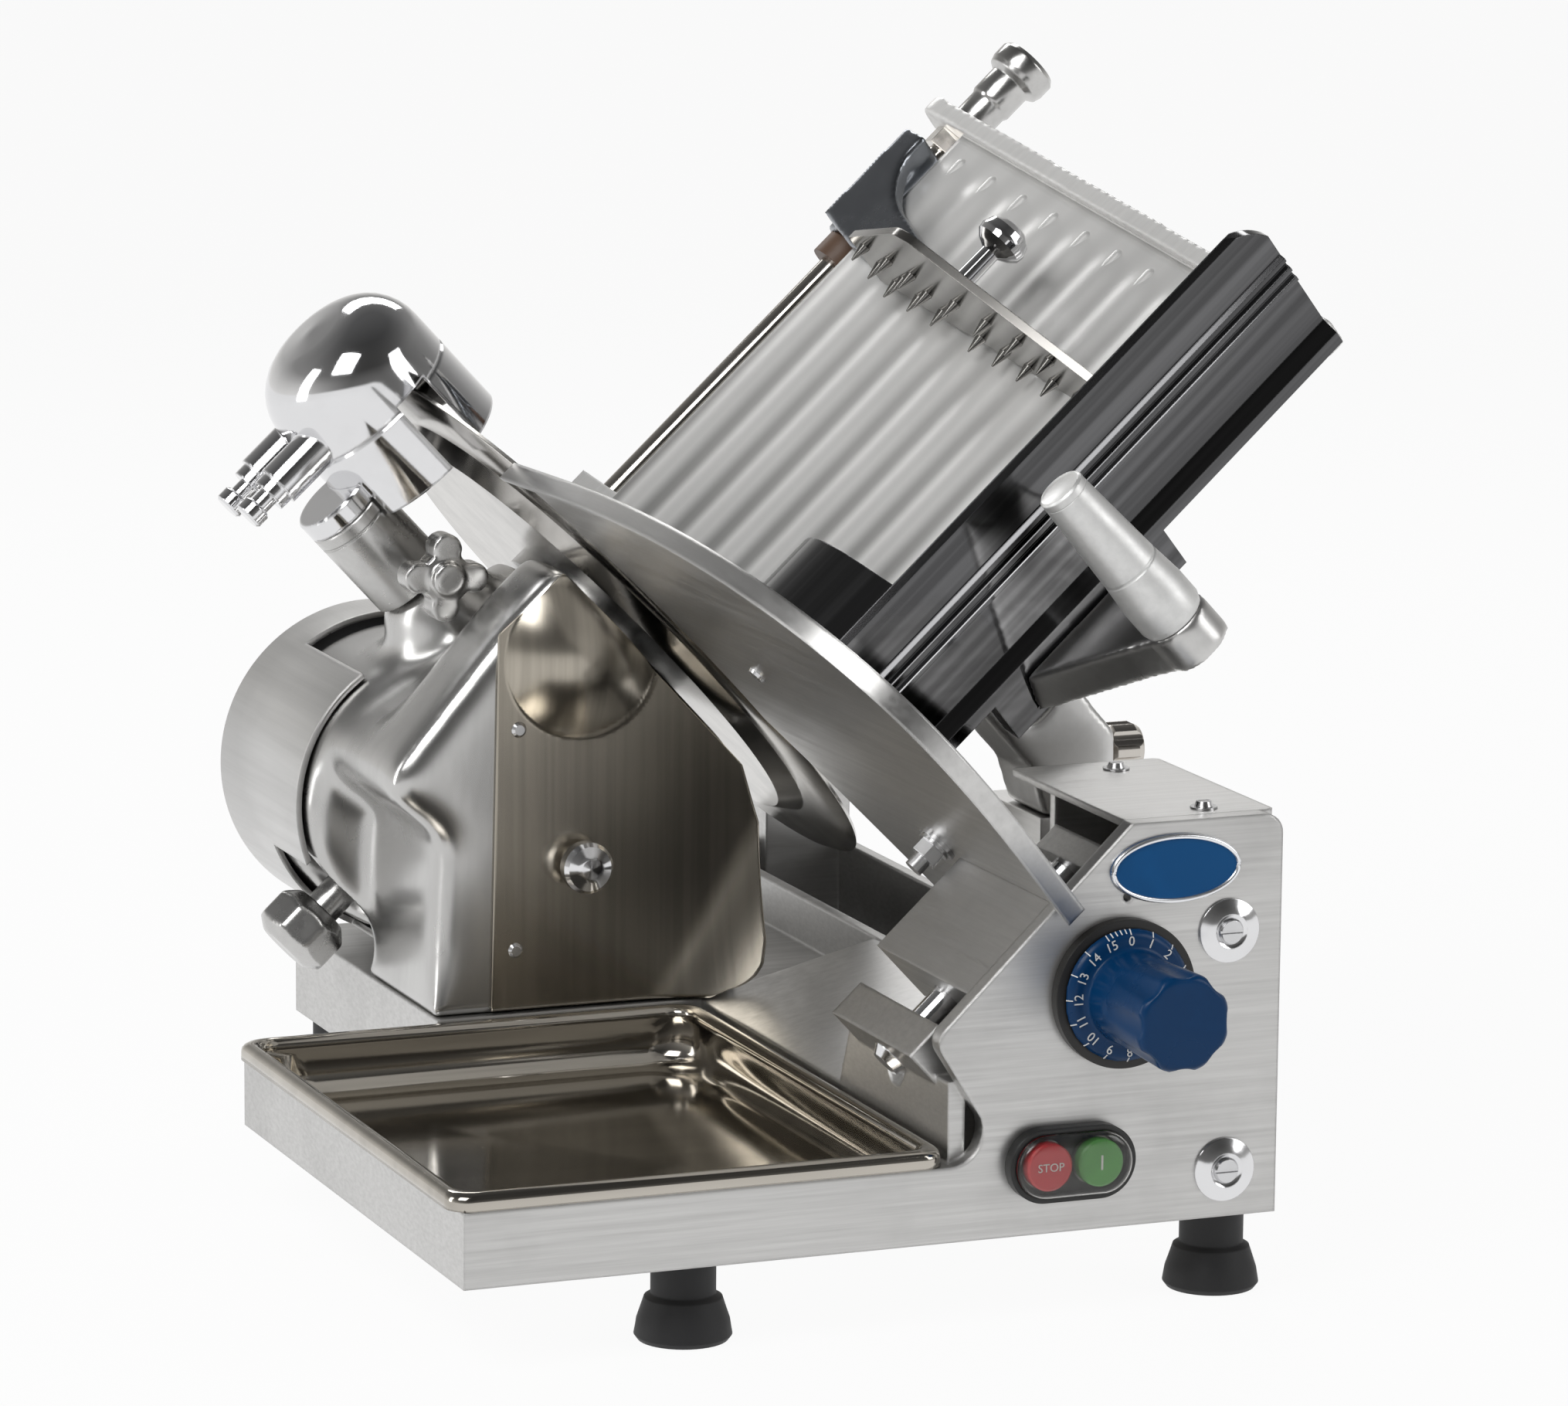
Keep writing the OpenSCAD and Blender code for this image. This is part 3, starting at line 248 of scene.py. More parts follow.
def polished(name, colour, rough, stretch, turn=(0, 0, 0), streak_mix=0.35, edge=0.0, line_stain_and_sheen=0.5):
    """Polished sheet: long faint drawing lines, stained darker when their factor is below 1 and painted lighter as
    highlight lines when it is above 1, slow waves in the surface and light handling haze.
    """
    f = Finish(name, colour, rough)
    if edge:
        f.rounded(edge)
    line = f.noise(1.0, stretch, turn, 2.0, 0.5)
    haze = f.noise(6.0, detail=4.0)
    wave = f.noise(14.0, detail=1.0)
    f.stain(f.span(line, 0.38, 0.66, 0.0, streak_mix), shades(colour, line_stain_and_sheen))
    f.dull(f.span(haze, 0.35, 0.75, 0.0, 0.07))
    f.bump(wave, 5e-5)
    f.bump(line, 1.2e-5)
    return f.done()


def plated(name, colour, rough=0.06, edge=0.0):
    """Bright plating: almost a mirror, with faint fingermarks in the roughness."""
    f = Finish(name, colour, rough)
    if edge:
        f.rounded(edge)
    mark = f.noise(40.0, detail=4.0)
    f.stain(f.span(mark, 0.5, 0.8, 0.0, 0.25), shades(colour, 0.8))
    f.dull(f.span(mark, 0.45, 0.75, 0.0, 0.08))
    return f.done()


def moulded(name, colour, rough, pebble=900.0, depth=3e-5, edge=0.0, gloss=0.5):
    """Moulded plastic or rubber: a fine pebble grain with slow changes of gloss and paler rubbed places."""
    f = Finish(name, colour, rough, 0.0)
    f.skin.inputs["Specular IOR Level"].default_value = gloss
    if edge:
        f.rounded(edge)
    grain = f.noise(pebble, detail=2.0)
    wear = f.noise(35.0, detail=4.0)
    f.stain(f.span(wear, 0.55, 0.8, 0.0, 0.35), tuple(min(1, c * 1.6 + 0.004) for c in colour))
    f.dull(f.span(wear, 0.3, 0.8, -0.06, 0.08))
    f.bump(grain, depth)
    return f.done()


def surface(name, points, ring=False, loop=False, lid=False, mat=None):
    """Mesh of a grid of points, shape (rows, columns, 3): quads between neighbours, columns joined end to end
    when ring is true and rows when loop is, and the last row closed by a flat face when lid is true."""
    rows, cols = points.shape[:2]
    i = np.arange(rows * cols).reshape(rows, cols)
    i = np.concatenate([i, i[:1]]) if loop else i
    j = np.roll(i, -1, 1) if ring else i[:, 1:]
    a = i if ring else i[:, :-1]
    quads = np.stack([a[:-1], j[:-1], j[1:], a[1:]], -1).reshape(-1, 4)
    faces = quads.tolist()
    if lid:
        faces.append(i[-1].tolist())
    mesh = bpy.data.meshes.new(name)
    mesh.from_pydata(points.reshape(-1, 3).tolist(), [], faces)
    mesh.polygons.foreach_set("use_smooth", np.ones(len(mesh.polygons), bool))
    return place(name, mesh, mat)


def place(name, mesh, mat=None):
    """Object of a mesh at the origin, with its finish."""
    mesh.update()
    obj = bpy.data.objects.new(name, mesh)
    bpy.context.scene.collection.objects.link(obj)
    if mat:
        mesh.materials.append(mat)
    return obj


def keep(obj, body, slot, *nodes):
    """Ties a new piece to its body, and lets it stand for CAD nodes if any are named. The slot is not used."""
    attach(obj, body)
    if nodes:
        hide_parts(*nodes)
    return obj


def walled(obj, thickness, offset=-1):
    """Gives a surface a wall: behind its face, or in front of it when offset is 1."""
    wall = obj.modifiers.new("sheet", "SOLIDIFY")
    wall.thickness = thickness
    wall.offset = offset
    return obj


def points_of(mesh):
    """A mesh's points, shape (count, 3)."""
    flat = np.empty(len(mesh.vertices) * 3)
    mesh.vertices.foreach_get("co", flat)
    return flat.reshape(-1, 3)


def tube(path, radius, sides=12):
    """Round bar along a closed path of points: circles of radius square to the path, turned with its tangent."""
    ahead = np.roll(path, -1, 0) - np.roll(path, 1, 0)
    ahead /= np.linalg.norm(ahead, axis=1)[:, None]
    up = np.cross(np.cross(ahead, [0, 0, 1.0]) + 1e-9 * np.array([1, 0, 0]), ahead)
    up /= np.linalg.norm(up, axis=1)[:, None]
    side = np.cross(ahead, up)
    a = np.linspace(0, 2 * np.pi, sides, endpoint=False)
    out = np.cos(a)[None, :, None] * up[:, None] + np.sin(a)[None, :, None] * side[:, None]
    return path[:, None] + radius * out


def rounded_rings(rows, corner_steps=10):
    """Rounded rectangles stacked into a grid. Each row is (x0, x1, y0, y1, z, r): four quarter circles of
    radius r about the corners drawn in by r."""
    rows = np.asarray(rows, float)
    a = np.linspace(0, np.pi / 2, corner_steps)
    turn = np.concatenate([a + k * np.pi / 2 for k in range(4)])
    right = np.repeat([True, False, False, True], corner_steps)
    back = np.repeat([True, True, False, False], corner_steps)
    x0, x1, y0, y1, z, r = (rows[:, k][:, None] for k in range(6))
    x = np.where(right, x1 - r, x0 + r) + r * np.cos(turn)
    y = np.where(back, y1 - r, y0 + r) + r * np.sin(turn)
    return np.stack([x, y, np.broadcast_to(z, x.shape)], -1)


def smooth_faces():
    """Node group that merges loose triangles and shades them smooth up to the sharp angle."""
    group = bpy.data.node_groups.get("smooth faces")
    if group:
        return group
    group = bpy.data.node_groups.new("smooth faces", "GeometryNodeTree")
    group.interface.new_socket("Geometry", in_out="INPUT", socket_type="NodeSocketGeometry")
    group.interface.new_socket("Geometry", in_out="OUTPUT", socket_type="NodeSocketGeometry")
    add, join = group.nodes.new, group.links.new
    start, end = add("NodeGroupInput"), add("NodeGroupOutput")
    weld = add("GeometryNodeMergeByDistance")
    weld.inputs["Distance"].default_value = 2e-6
    plain = add("GeometryNodeRemoveAttribute")
    plain.inputs["Name"].default_value = "custom_normal"
    soft = add("GeometryNodeSetShadeSmooth")
    hard = add("GeometryNodeSetShadeSmooth")
    hard.domain = "EDGE"
    hard.inputs["Shade Smooth"].default_value = False
    bend = add("GeometryNodeInputMeshEdgeAngle")
    sharp = add("FunctionNodeCompare")
    sharp.operation = "GREATER_THAN"
    sharp.inputs[1].default_value = SHARP_ANGLE
    join(start.outputs[0], plain.inputs["Geometry"])
    join(plain.outputs["Geometry"], weld.inputs["Geometry"])
    join(weld.outputs["Geometry"], soft.inputs["Geometry"])
    join(soft.outputs["Geometry"], hard.inputs["Geometry"])
    join(bend.outputs["Unsigned Angle"], sharp.inputs[0])
    join(sharp.outputs["Result"], hard.inputs["Selection"])
    join(hard.outputs["Geometry"], end.inputs[0])
    return group


def paint(mat, *names):
    """Gives CAD nodes a finish and smooth shading."""
    for name in names:
        node = frame["nodes"][name]
        node.data.materials.clear()
        node.data.materials.append(mat)
        node.modifiers.new("smooth faces", "NODES").node_group = smooth_faces()


def relaxed(points, edges, rounds, share):
    """Each round moves every point half way to the mean of its neighbours, times its share."""
    count = len(points)
    pairs = np.concatenate([edges, edges[:, ::-1]])
    degree = np.bincount(pairs[:, 0], minlength=count)[:, None]
    for _ in range(rounds):
        mean = np.stack([np.bincount(pairs[:, 0], points[pairs[:, 1], k], count) for k in range(3)], 1) / degree
        points = points + 0.5 * share[:, None] * (mean - points)
    return points


def softened(node, step, rounds, mat, name, foot=0.0):
    """A casting's copy with rounded edges: its solid is resampled on a grid of that step and relaxed, less and
    less towards its foot where that is given."""
    mesh = frame["nodes"][node].data.copy()
    obj = place(name, mesh)
    weld = obj.modifiers.new("weld", "WELD")
    weld.merge_threshold = 1e-5
    grid = obj.modifiers.new("grid", "REMESH")
    grid.mode = "VOXEL"
    grid.voxel_size = step
    baked = bpy.data.meshes.new_from_object(obj.evaluated_get(bpy.context.evaluated_depsgraph_get()))
    points = points_of(baked)
    edges = np.empty(len(baked.edges) * 2, int)
    baked.edges.foreach_get("vertices", edges)
    height = points[:, 2] - points[:, 2].min()
    share = np.clip(height / foot - 0.15, 0, 1) if foot else np.ones(len(points))
    baked.vertices.foreach_set("co", relaxed(points, edges.reshape(-1, 2), rounds, share).ravel())
    baked.polygons.foreach_set("use_smooth", np.ones(len(baked.polygons), bool))
    obj.modifiers.clear()
    obj.data = baked
    baked.materials.clear()
    baked.materials.append(mat)
    bpy.data.meshes.remove(mesh)
    return keep(obj, BODY_OF[node], SLOT_OF[node], node)


def seen_directly(nodes, links):
    """1 for rays from the camera, from gloss and through glass."""
    rays = nodes.new("ShaderNodeLightPath")
    first = nodes.new("ShaderNodeMath")
    first.operation = "MAXIMUM"
    second = nodes.new("ShaderNodeMath")
    second.operation = "MAXIMUM"
    links.new(rays.outputs["Is Camera Ray"], first.inputs[0])
    links.new(rays.outputs["Is Glossy Ray"], first.inputs[1])
    links.new(first.outputs[0], second.inputs[0])
    links.new(rays.outputs["Is Transmission Ray"], second.inputs[1])
    return second.outputs[0]


class SlicerOperator:
    """Shared settings of the slicer's operators"""
    bl_options = {"REGISTER", "UNDO"}

    @property
    def colours(self):
        return bpy.context.scene.slicer_colours

    @property
    def sizes(self):
        return bpy.context.scene.slicer_sizes


class SLICER_OT_stage(SlicerOperator, bpy.types.Operator):
    """Camera at the photograph's angle, pale floor and soft studio light"""
    bl_idname = "slicer.stage"
    bl_label = "Studio stage"

    def execute(self, context):
        scene = context.scene
        scene.view_settings.view_transform = "Standard"
        self.camera(scene)
        self.floor()
        self.sky(scene)
        for name, at, aim, size, watts in (
                ("key light", (-1.3, -1.1, 1.7), (0, 0, 0.2), (1.1, 1.1), 26),
                ("fill light", (1.7, -1.5, 1.1), (0, 0, 0.2), (0.9, 1.4), 13),
                ("rim light", (0.4, 1.7, 1.6), (0, 0, 0.3), (1.6, 0.6), 16),
                ("side light", (-2.0, 0.3, 0.7), (0, 0, 0.2), (0.5, 1.4), 9)):
            self.lamp(name, Vector(at), Vector(aim), size, watts)
        return {"FINISHED"}

    def camera(self, scene):
        """Fitted view: 22.1 degrees left of the front, 10.8 down, with a slight roll."""
        place_of_eye, focal_mm, sensor_mm = (-1.0642, -2.6722, 0.7566), 160.08, 36
        az, el, roll = (math.radians(v) for v in (22.13, 10.76, 0.53))
        ahead = Vector((math.sin(az) * math.cos(el), math.cos(az) * math.cos(el), -math.sin(el)))
        level = Vector((math.cos(az), -math.sin(az), 0))
        rise = level.cross(ahead)
        right = math.cos(roll) * level + math.sin(roll) * rise
        up = math.cos(roll) * rise - math.sin(roll) * level
        lens = bpy.data.cameras.new("camera")
        lens.lens = focal_mm
        lens.sensor_width = sensor_mm
        lens.sensor_fit = "HORIZONTAL"
        lens.clip_end = 50
        eye = bpy.data.objects.new("camera", lens)
        turn = Matrix((right, up, -ahead)).transposed().to_4x4()
        eye.matrix_world = Matrix.Translation(place_of_eye) @ turn
        scene.collection.objects.link(eye)
        scene.camera = eye

    def floor(self):
        """Wide pale floor just under the feet, which glows where the camera sees it."""
        reach, below, glow_share = 30, 0.0003, 0.94
        size = np.linspace(-reach, reach, 13)
        x, y = np.meshgrid(size, size, indexing="xy")
        ground = surface("floor", np.stack([x, y, np.zeros_like(x) - below], -1))
        mat = bpy.data.materials.new("floor")
        mat.use_nodes = True
        nodes, links = mat.node_tree.nodes, mat.node_tree.links
        nodes["Principled BSDF"].inputs["Base Color"].default_value = (0.8, 0.8, 0.8, 1)
        nodes["Principled BSDF"].inputs["Roughness"].default_value = 0.9
        glow = nodes.new("ShaderNodeEmission")
        seen = seen_directly(nodes, links)
        share = nodes.new("ShaderNodeMath")
        share.operation = "MULTIPLY"
        share.inputs[1].default_value = glow_share
        mix = nodes.new("ShaderNodeMixShader")
        links.new(seen, share.inputs[0])
        links.new(share.outputs[0], mix.inputs[0])
        links.new(nodes["Principled BSDF"].outputs[0], mix.inputs[1])
        links.new(glow.outputs[0], mix.inputs[2])
        links.new(mix.outputs[0], nodes["Material Output"].inputs["Surface"])
        ground.data.materials.append(mat)

    def sky(self, scene):
        """White behind the object; a grey room, darker overhead, for the light that reaches it."""
        world = bpy.data.worlds.new("studio")
        scene.world = world
        world.use_nodes = True
        nodes, links = world.node_tree.nodes, world.node_tree.links
        way = nodes.new("ShaderNodeTexCoord")
        axes = nodes.new("ShaderNodeSeparateXYZ")
        links.new(way.outputs["Generated"], axes.inputs[0])
        height = nodes.new("ShaderNodeValToRGB")
        stops = height.color_ramp.elements
        stops[0].position, stops[0].color = 0.0, (0.62, 0.62, 0.62, 1)
        stops[1].position, stops[1].color = 0.95, (0.10, 0.10, 0.10, 1)
        for at, grey in ((0.50, 0.85), (0.60, 0.62), (0.70, 0.28)):
            stop = stops.new(at)
            stop.color = (grey, grey * 0.99, grey * 0.97, 1)
        lift = nodes.new("ShaderNodeMapRange")
        lift.inputs["From Min"].default_value = -1
        links.new(axes.outputs["Z"], lift.inputs["Value"])
        links.new(lift.outputs["Result"], height.inputs["Fac"])
        front = nodes.new("ShaderNodeMapRange")
        front.inputs["From Min"].default_value = -0.9
        front.inputs["From Max"].default_value = 0.35
        front.inputs["To Min"].default_value = 0.20
        links.new(axes.outputs["Y"], front.inputs["Value"])
        room = nodes.new("ShaderNodeMix")
        room.data_type = "RGBA"
        room.blend_type = "MULTIPLY"
        room.inputs[0].default_value = 1.0
        links.new(height.outputs["Color"], room.inputs[6])
        links.new(front.outputs["Result"], room.inputs[7])
        white = nodes.new("ShaderNodeMix")
        white.data_type = "RGBA"
        white.inputs[7].default_value = (1, 1, 1, 1)
        rays = nodes.new("ShaderNodeLightPath")
        links.new(rays.outputs["Is Camera Ray"], white.inputs[0])
        links.new(room.outputs[2], white.inputs[6])
        links.new(white.outputs[2], nodes["Background"].inputs["Color"])

    def lamp(self, name, at, aim, size, watts):
        """Rectangular light at a place, aimed at another."""
        light = bpy.data.lights.new(name, "AREA")
        light.shape = "RECTANGLE"
        light.size, light.size_y = size
        light.energy = watts
        obj = bpy.data.objects.new(name, light)
        obj.matrix_world = Matrix.Translation(at) @ (aim - at).to_track_quat("-Z", "Y").to_matrix().to_4x4()
        bpy.context.scene.collection.objects.link(obj)


class SLICER_OT_base(SlicerOperator, bpy.types.Operator):
    """Brushed base casting with its covers, feet, rods and discs"""
    bl_idname = "slicer.base"
    bl_label = "Base"

    def execute(self, context):
        c = self.colours
        panel = brushed("brushed base", c.alloy, 0.36, (14, 260, 620), edge=0.0022, smudge=0.45)
        paint(panel, "base_casting", "box_cover")
        paint(brushed("brushed slide parts", c.alloy, 0.40, (300, 12, 300), edge=0.0015),
              "gauge_carrier", "slide_block", "index_cam")
        paint(polished("bottom sheet steel", c.steel, 0.35, (8, 400, 400)), "bottom_sheet")
        paint(moulded("foot rubber", (0.012, 0.012, 0.013), 0.62, 700, edge=0.001), "rubber_feet")
        paint(plated("disc plating", c.chrome, 0.10, 0.0006), "rod_end_discs", "carriage_rods", "guide_bar")
        paint(plated("screw steel", shades(c.chrome, 0.85), 0.22, 0.0004), "cover_screws", "rod_end_screws",
              "foot_studs", "gauge_bolts", "cam_follower", "deflector_rivets")
        paint(moulded("bearing bronze", (0.42, 0.26, 0.10), 0.4), "slide_bushes")
        return {"FINISHED"}


class SLICER_OT_column(SlicerOperator, bpy.types.Operator):
    """Satin column with its motor, shaft, post and clamp knobs"""
    bl_idname = "slicer.column"
    bl_label = "Column and motor"

    def execute(self, context):
        c, s = self.colours, self.sizes
        satin = brushed("satin casting", c.satin, 0.25, (40, 40, 9), smudge=0.30, grain=0.03, depth=8e-6)
        softened("column_casting", s.casting_step, 60, satin, "column_soft", 0.02)
        cover = brushed("motor cover brushing", c.alloy, 0.33, (120, 3, 120), edge=0.002, smudge=0.2)
        paint(cover, "motor_cover")
        paint(brushed("turned post", c.satin, 0.27, (60, 60, 60), edge=0.0008), "sharpener_post")
        knobs = brushed("knob casting", c.satin, 0.27, (70, 70, 70), smudge=0.3)
        softened("star_knob", 0.0009, 6, knobs, "star_soft")
        softened("tie_knob", 0.0010, 5, knobs, "tie_soft")
        paint(brushed("turned shaft", c.satin, 0.24, (90, 90, 90)), "tie_rod", "knife_shaft", "shaft_bearings")
        paint(moulded("iron laminations", (0.05, 0.05, 0.052), 0.5), "motor_stator", "motor_rotor")
        paint(moulded("crown gear steel", (0.12, 0.12, 0.12), 0.4), "crown_gear")
        return {"FINISHED"}


class SLICER_OT_knife(SlicerOperator, bpy.types.Operator):
    """Knife, its cover, the gauge plate and the slice deflector's knob"""
    bl_idname = "slicer.knife"
    bl_label = "Knife and plate"

    def execute(self, context):
        c = self.colours
        paint(polished("ground knife", c.steel, 0.16, (60, 60, 60), edge=0.0004), "knife", "knife_cover")
        paint(brushed("gauge plate brushing", c.alloy, 0.33, (200, 6, 200), LEAN, edge=0.002), "gauge_plate")
        paint(plated("deflector knob plating", c.chrome, 0.10), "deflector_knob")
        return {"FINISHED"}


class SLICER_OT_deflector(SlicerOperator, bpy.types.Operator):
    """Bent slice deflector with a pressed boss"""
    bl_idname = "slicer.deflector"
    bl_label = "Slice deflector"

    def execute(self, context):
        """Sheet between a left and a right edge given by height: it curls forward past a slanting line as a
        parabola of the distance, and a boss stands out as a paraboloid of the set radius."""
        steps, bottom, top = 110, 0.0763, 0.2622
        fold_x, fold_z, fold_across, fold_up, curl = 0.176, 0.0762, 0.8458, 0.5335, 0.085
        boss_x, boss_z, boss_rise = 0.150, 0.226, 0.013
        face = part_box("deflector_rivets")[1][1]
        z = np.linspace(bottom, top, steps)
        left = np.interp(z, [0.076, 0.238, 0.2625], [0.110, 0.113, 0.142])
        right = np.interp(z, [0.076, 0.0793, 0.082, 0.086, 0.091, 0.101, 0.150, 0.1754, 0.2625],
                          [0.206, 0.2118, 0.2191, 0.2241, 0.2276, 0.230, 0.231, 0.2234, 0.1422])
        u = np.linspace(0, 1, steps)
        x = left[:, None] + u * (right - left)[:, None]
        z = np.broadcast_to(z[:, None], x.shape)
        past = np.clip((x - fold_x) * fold_across - (z - fold_z) * fold_up, 0, None)
        reach = ((x - boss_x) ** 2 + (z - boss_z) ** 2) / self.sizes.boss ** 2
        y = face - past ** 2 / curl - boss_rise * np.clip(1 - reach, 0, None)
        mat = polished("deflector sheet", (0.43, 0.395, 0.335), 0.22, (300, 40, 6), streak_mix=0.3)
        sheet = surface("deflector_sheet", np.stack([x + DRAWN_FROM[0], y, z], -1), mat=mat)
        keep(walled(sheet, 0.0014), "base", "stainless", "slice_deflector")
        return {"FINISHED"}


class SLICER_OT_chute(SlicerOperator, bpy.types.Operator):
    """Chute with its ribbed table, fence, thumb guard and handle"""
    bl_idname = "slicer.chute"
    bl_label = "Chute"

    def execute(self, context):
        c, s = self.colours, self.sizes
        pale = brushed("anodised table", (0.80, 0.795, 0.78), 0.38, (3, 220, 220), LEAN, smudge=0.10, edge=0.0015,
                       metal=0.35)
        paint(pale, "chute_table")
        self.ribs()
        softened("chute_end_bar", 0.0013, 4, pale, "end_bar_soft")
        # painted highlight: the fence's and thumb guard's drawing lines are painted 2.4 times lighter than the dark
        # polish, as bright streaks along the fence
        fence = polished("fence polish with painted highlight lines", c.polished, 0.07, (2, 160, 160), LEAN, streak_mix=0.6, edge=0.0006, line_stain_and_sheen=2.4)
        paint(fence, "chute_fence", "thumb_guard")
        arm = brushed("arm casting", c.alloy, 0.34, (60, 60, 60), smudge=0.25)
        softened("chute_arm", s.casting_step, 6, arm, "arm_soft")
        softened("handle_bracket", 0.0015, 6, arm, "bracket_soft")
        grip = brushed("anodised handle", (0.80, 0.80, 0.79), 0.44, (160, 160, 160), smudge=0.05, edge=0.0008,
                       metal=0.6)
        paint(grip, "handle_grip", "handle_cap")
        paint(plated("rod plating", (0.56, 0.53, 0.49), 0.09, 0.0005), "slide_rod", "lock_knob")
        paint(brushed("rod knob turning", c.satin, 0.22, (120, 120, 120), edge=0.001), "rod_knob")
        return {"FINISHED"}

    def ribs(self):
        """Face of the table: it swells as 0.7 mm times 1 plus the cosine of the distance across, once for each rib,
        and runs flat at both ends."""
        width, length, start, hinge_y = 0.248, 0.244, 0.3045, 0.092
        side_gap, end_gap, first_rib, swell, lift = 0.0006, 0.001, 0.012, 0.0007, 0.0001
        flat_low, flat_high, fade = 0.004, 0.010, 0.012
        across, along = np.meshgrid(np.linspace(side_gap, width - side_gap, 280),
                                    np.linspace(end_gap, length - end_gap, 60))
        ends = np.clip(np.minimum(along - flat_low, length - flat_high - along) / fade, 0, 1)
        ends = ends * ends * (3 - 2 * ends)
        rise = lift + swell * (1 + np.cos(2 * np.pi * (across - first_rib) / RIB_PITCH)) * ends
        down = -rise * math.cos(TABLE_TURN) - across * math.sin(TABLE_TURN)
        back = -rise * math.sin(TABLE_TURN) + across * math.cos(TABLE_TURN) + hinge_y
        out = start + along
        points = np.stack([-UP_SLOPE.x * down + ALONG_AXIS.x * out + DRAWN_FROM[0], back + DRAWN_FROM[1],
                           -UP_SLOPE.z * down + ALONG_AXIS.z * out], -1)
        face = surface("table_ribs", points, mat=self.ribbed())
        keep(walled(face, 0.0008, 1), BODY_OF["chute_table"], "cast_alloy")

    def ribbed(self):
        """Pale anodised face with painted shade: greyer between its ribs, more towards the knife."""
        f = Finish("anodised table ribs with painted shade", (0.82, 0.815, 0.80), 0.36, 0.4)
        f.rounded(0.0015)
        first_rib, table_foot = -0.07926, 0.155
        sideways = UP_SLOPE * math.sin(TABLE_TURN) + Vector((0, math.cos(TABLE_TURN), 0))
        across = f.along(sideways, first_rib)
        # painted shade: the rib cosine and the fade along the chute grey the hollows between the ribs, most near the
        # table's foot
        swell = f.math("COSINE", f.math("MULTIPLY", across, 2 * math.pi / RIB_PITCH), 0.0)
        low = f.span(f.along(ALONG_AXIS, table_foot), 0.02, 0.22, 1.0, 0.15)
        f.stain(f.math("MULTIPLY", f.span(swell, -0.9, 0.5, 0.75, 0.0), low), (0.22, 0.22, 0.215))
        haze = f.noise(9.0, detail=4.0)
        f.dull(f.span(haze, 0.35, 0.75, -0.04, 0.06))
        return f.done()


class SLICER_OT_pusher(SlicerOperator, bpy.types.Operator):
    """Pusher arm with its spiked plate, bush and knob"""
    bl_idname = "slicer.pusher"
    bl_label = "Pusher"

    def execute(self, context):
        c = self.colours
        arm = brushed("pusher casting", (0.30, 0.315, 0.34), 0.24, (70, 70, 70))
        softened("pusher_arm", 0.0013, 6, arm, "pusher_soft")
        paint(polished("pusher plate polish", shades(c.steel, 0.5), 0.13, (40, 40, 40), edge=0.0005), "pusher_plate")
        paint(plated("pusher knob plating", c.chrome, 0.07), "pusher_knob")
        paint(moulded("brown bush", (0.12, 0.07, 0.045), 0.45, edge=0.0006), "pusher_bush")
        return {"FINISHED"}


class SLICER_OT_sharpener(SlicerOperator, bpy.types.Operator):
    """Chrome sharpener with its two plungers"""
    bl_idname = "slicer.sharpener"
    bl_label = "Sharpener"

    def execute(self, context):
        bright = plated("sharpener chrome", self.colours.chrome, 0.05, 0.0015)
        paint(bright, "sharpener_housing", "sharpener_stem")
        paint(plated("plunger chrome", self.colours.chrome, 0.08, 0.0006), "front_plunger", "rear_plunger")
        return {"FINISHED"}


def letters(words, height, centre, across, upward, lift):
    """Mesh points and faces of flat words: glyph x runs along across, glyph y along upward, from centre, and the
    letters are lift thick against the reading direction."""
    curve = bpy.data.curves.new("words", "FONT")
    curve.body = words
    curve.size = height * 1.4
    curve.align_x, curve.align_y = "CENTER", "CENTER"
    curve.extrude = lift
    curve.resolution_u = 3
    obj = bpy.data.objects.new("words", curve)
    bpy.context.scene.collection.objects.link(obj)
    mesh = bpy.data.meshes.new_from_object(obj.evaluated_get(bpy.context.evaluated_depsgraph_get()))
    flat = points_of(mesh)
    facing = np.cross(across, upward)
    points = np.asarray(centre) + flat[:, :1] * across + flat[:, 1:2] * upward + flat[:, 2:] * facing
    faces = [tuple(p.vertices) for p in mesh.polygons]
    bpy.data.objects.remove(obj)
    bpy.data.curves.remove(curve)
    bpy.data.meshes.remove(mesh)
    return points, faces


def joined(name, parts, mat):
    """One object of several lists of points and faces."""
    points, faces, start = [], [], 0
    for p, f in parts:
        points.append(p)
        faces += [tuple(i + start for i in face) for face in f]
        start += len(p)
    mesh = bpy.data.meshes.new(name)
    mesh.from_pydata(np.concatenate(points).tolist(), [], faces)
    return place(name, mesh, mat)


def bars(ends_a, ends_b, side, depth):
    """Flat bars between pairs of points: four corners set off by side on each of two faces set apart by depth."""
    a, b, s, d = (np.asarray(v, float) for v in (ends_a, ends_b, side, depth))
    corners = np.stack([a - s, a + s, b + s, b - s, a - s + d, a + s + d, b + s + d, b - s + d], 1)
    box = [(0, 1, 2, 3), (7, 6, 5, 4), (0, 4, 5, 1), (1, 5, 6, 2), (2, 6, 7, 3), (3, 7, 4, 0)]
    return [(c, box) for c in corners]


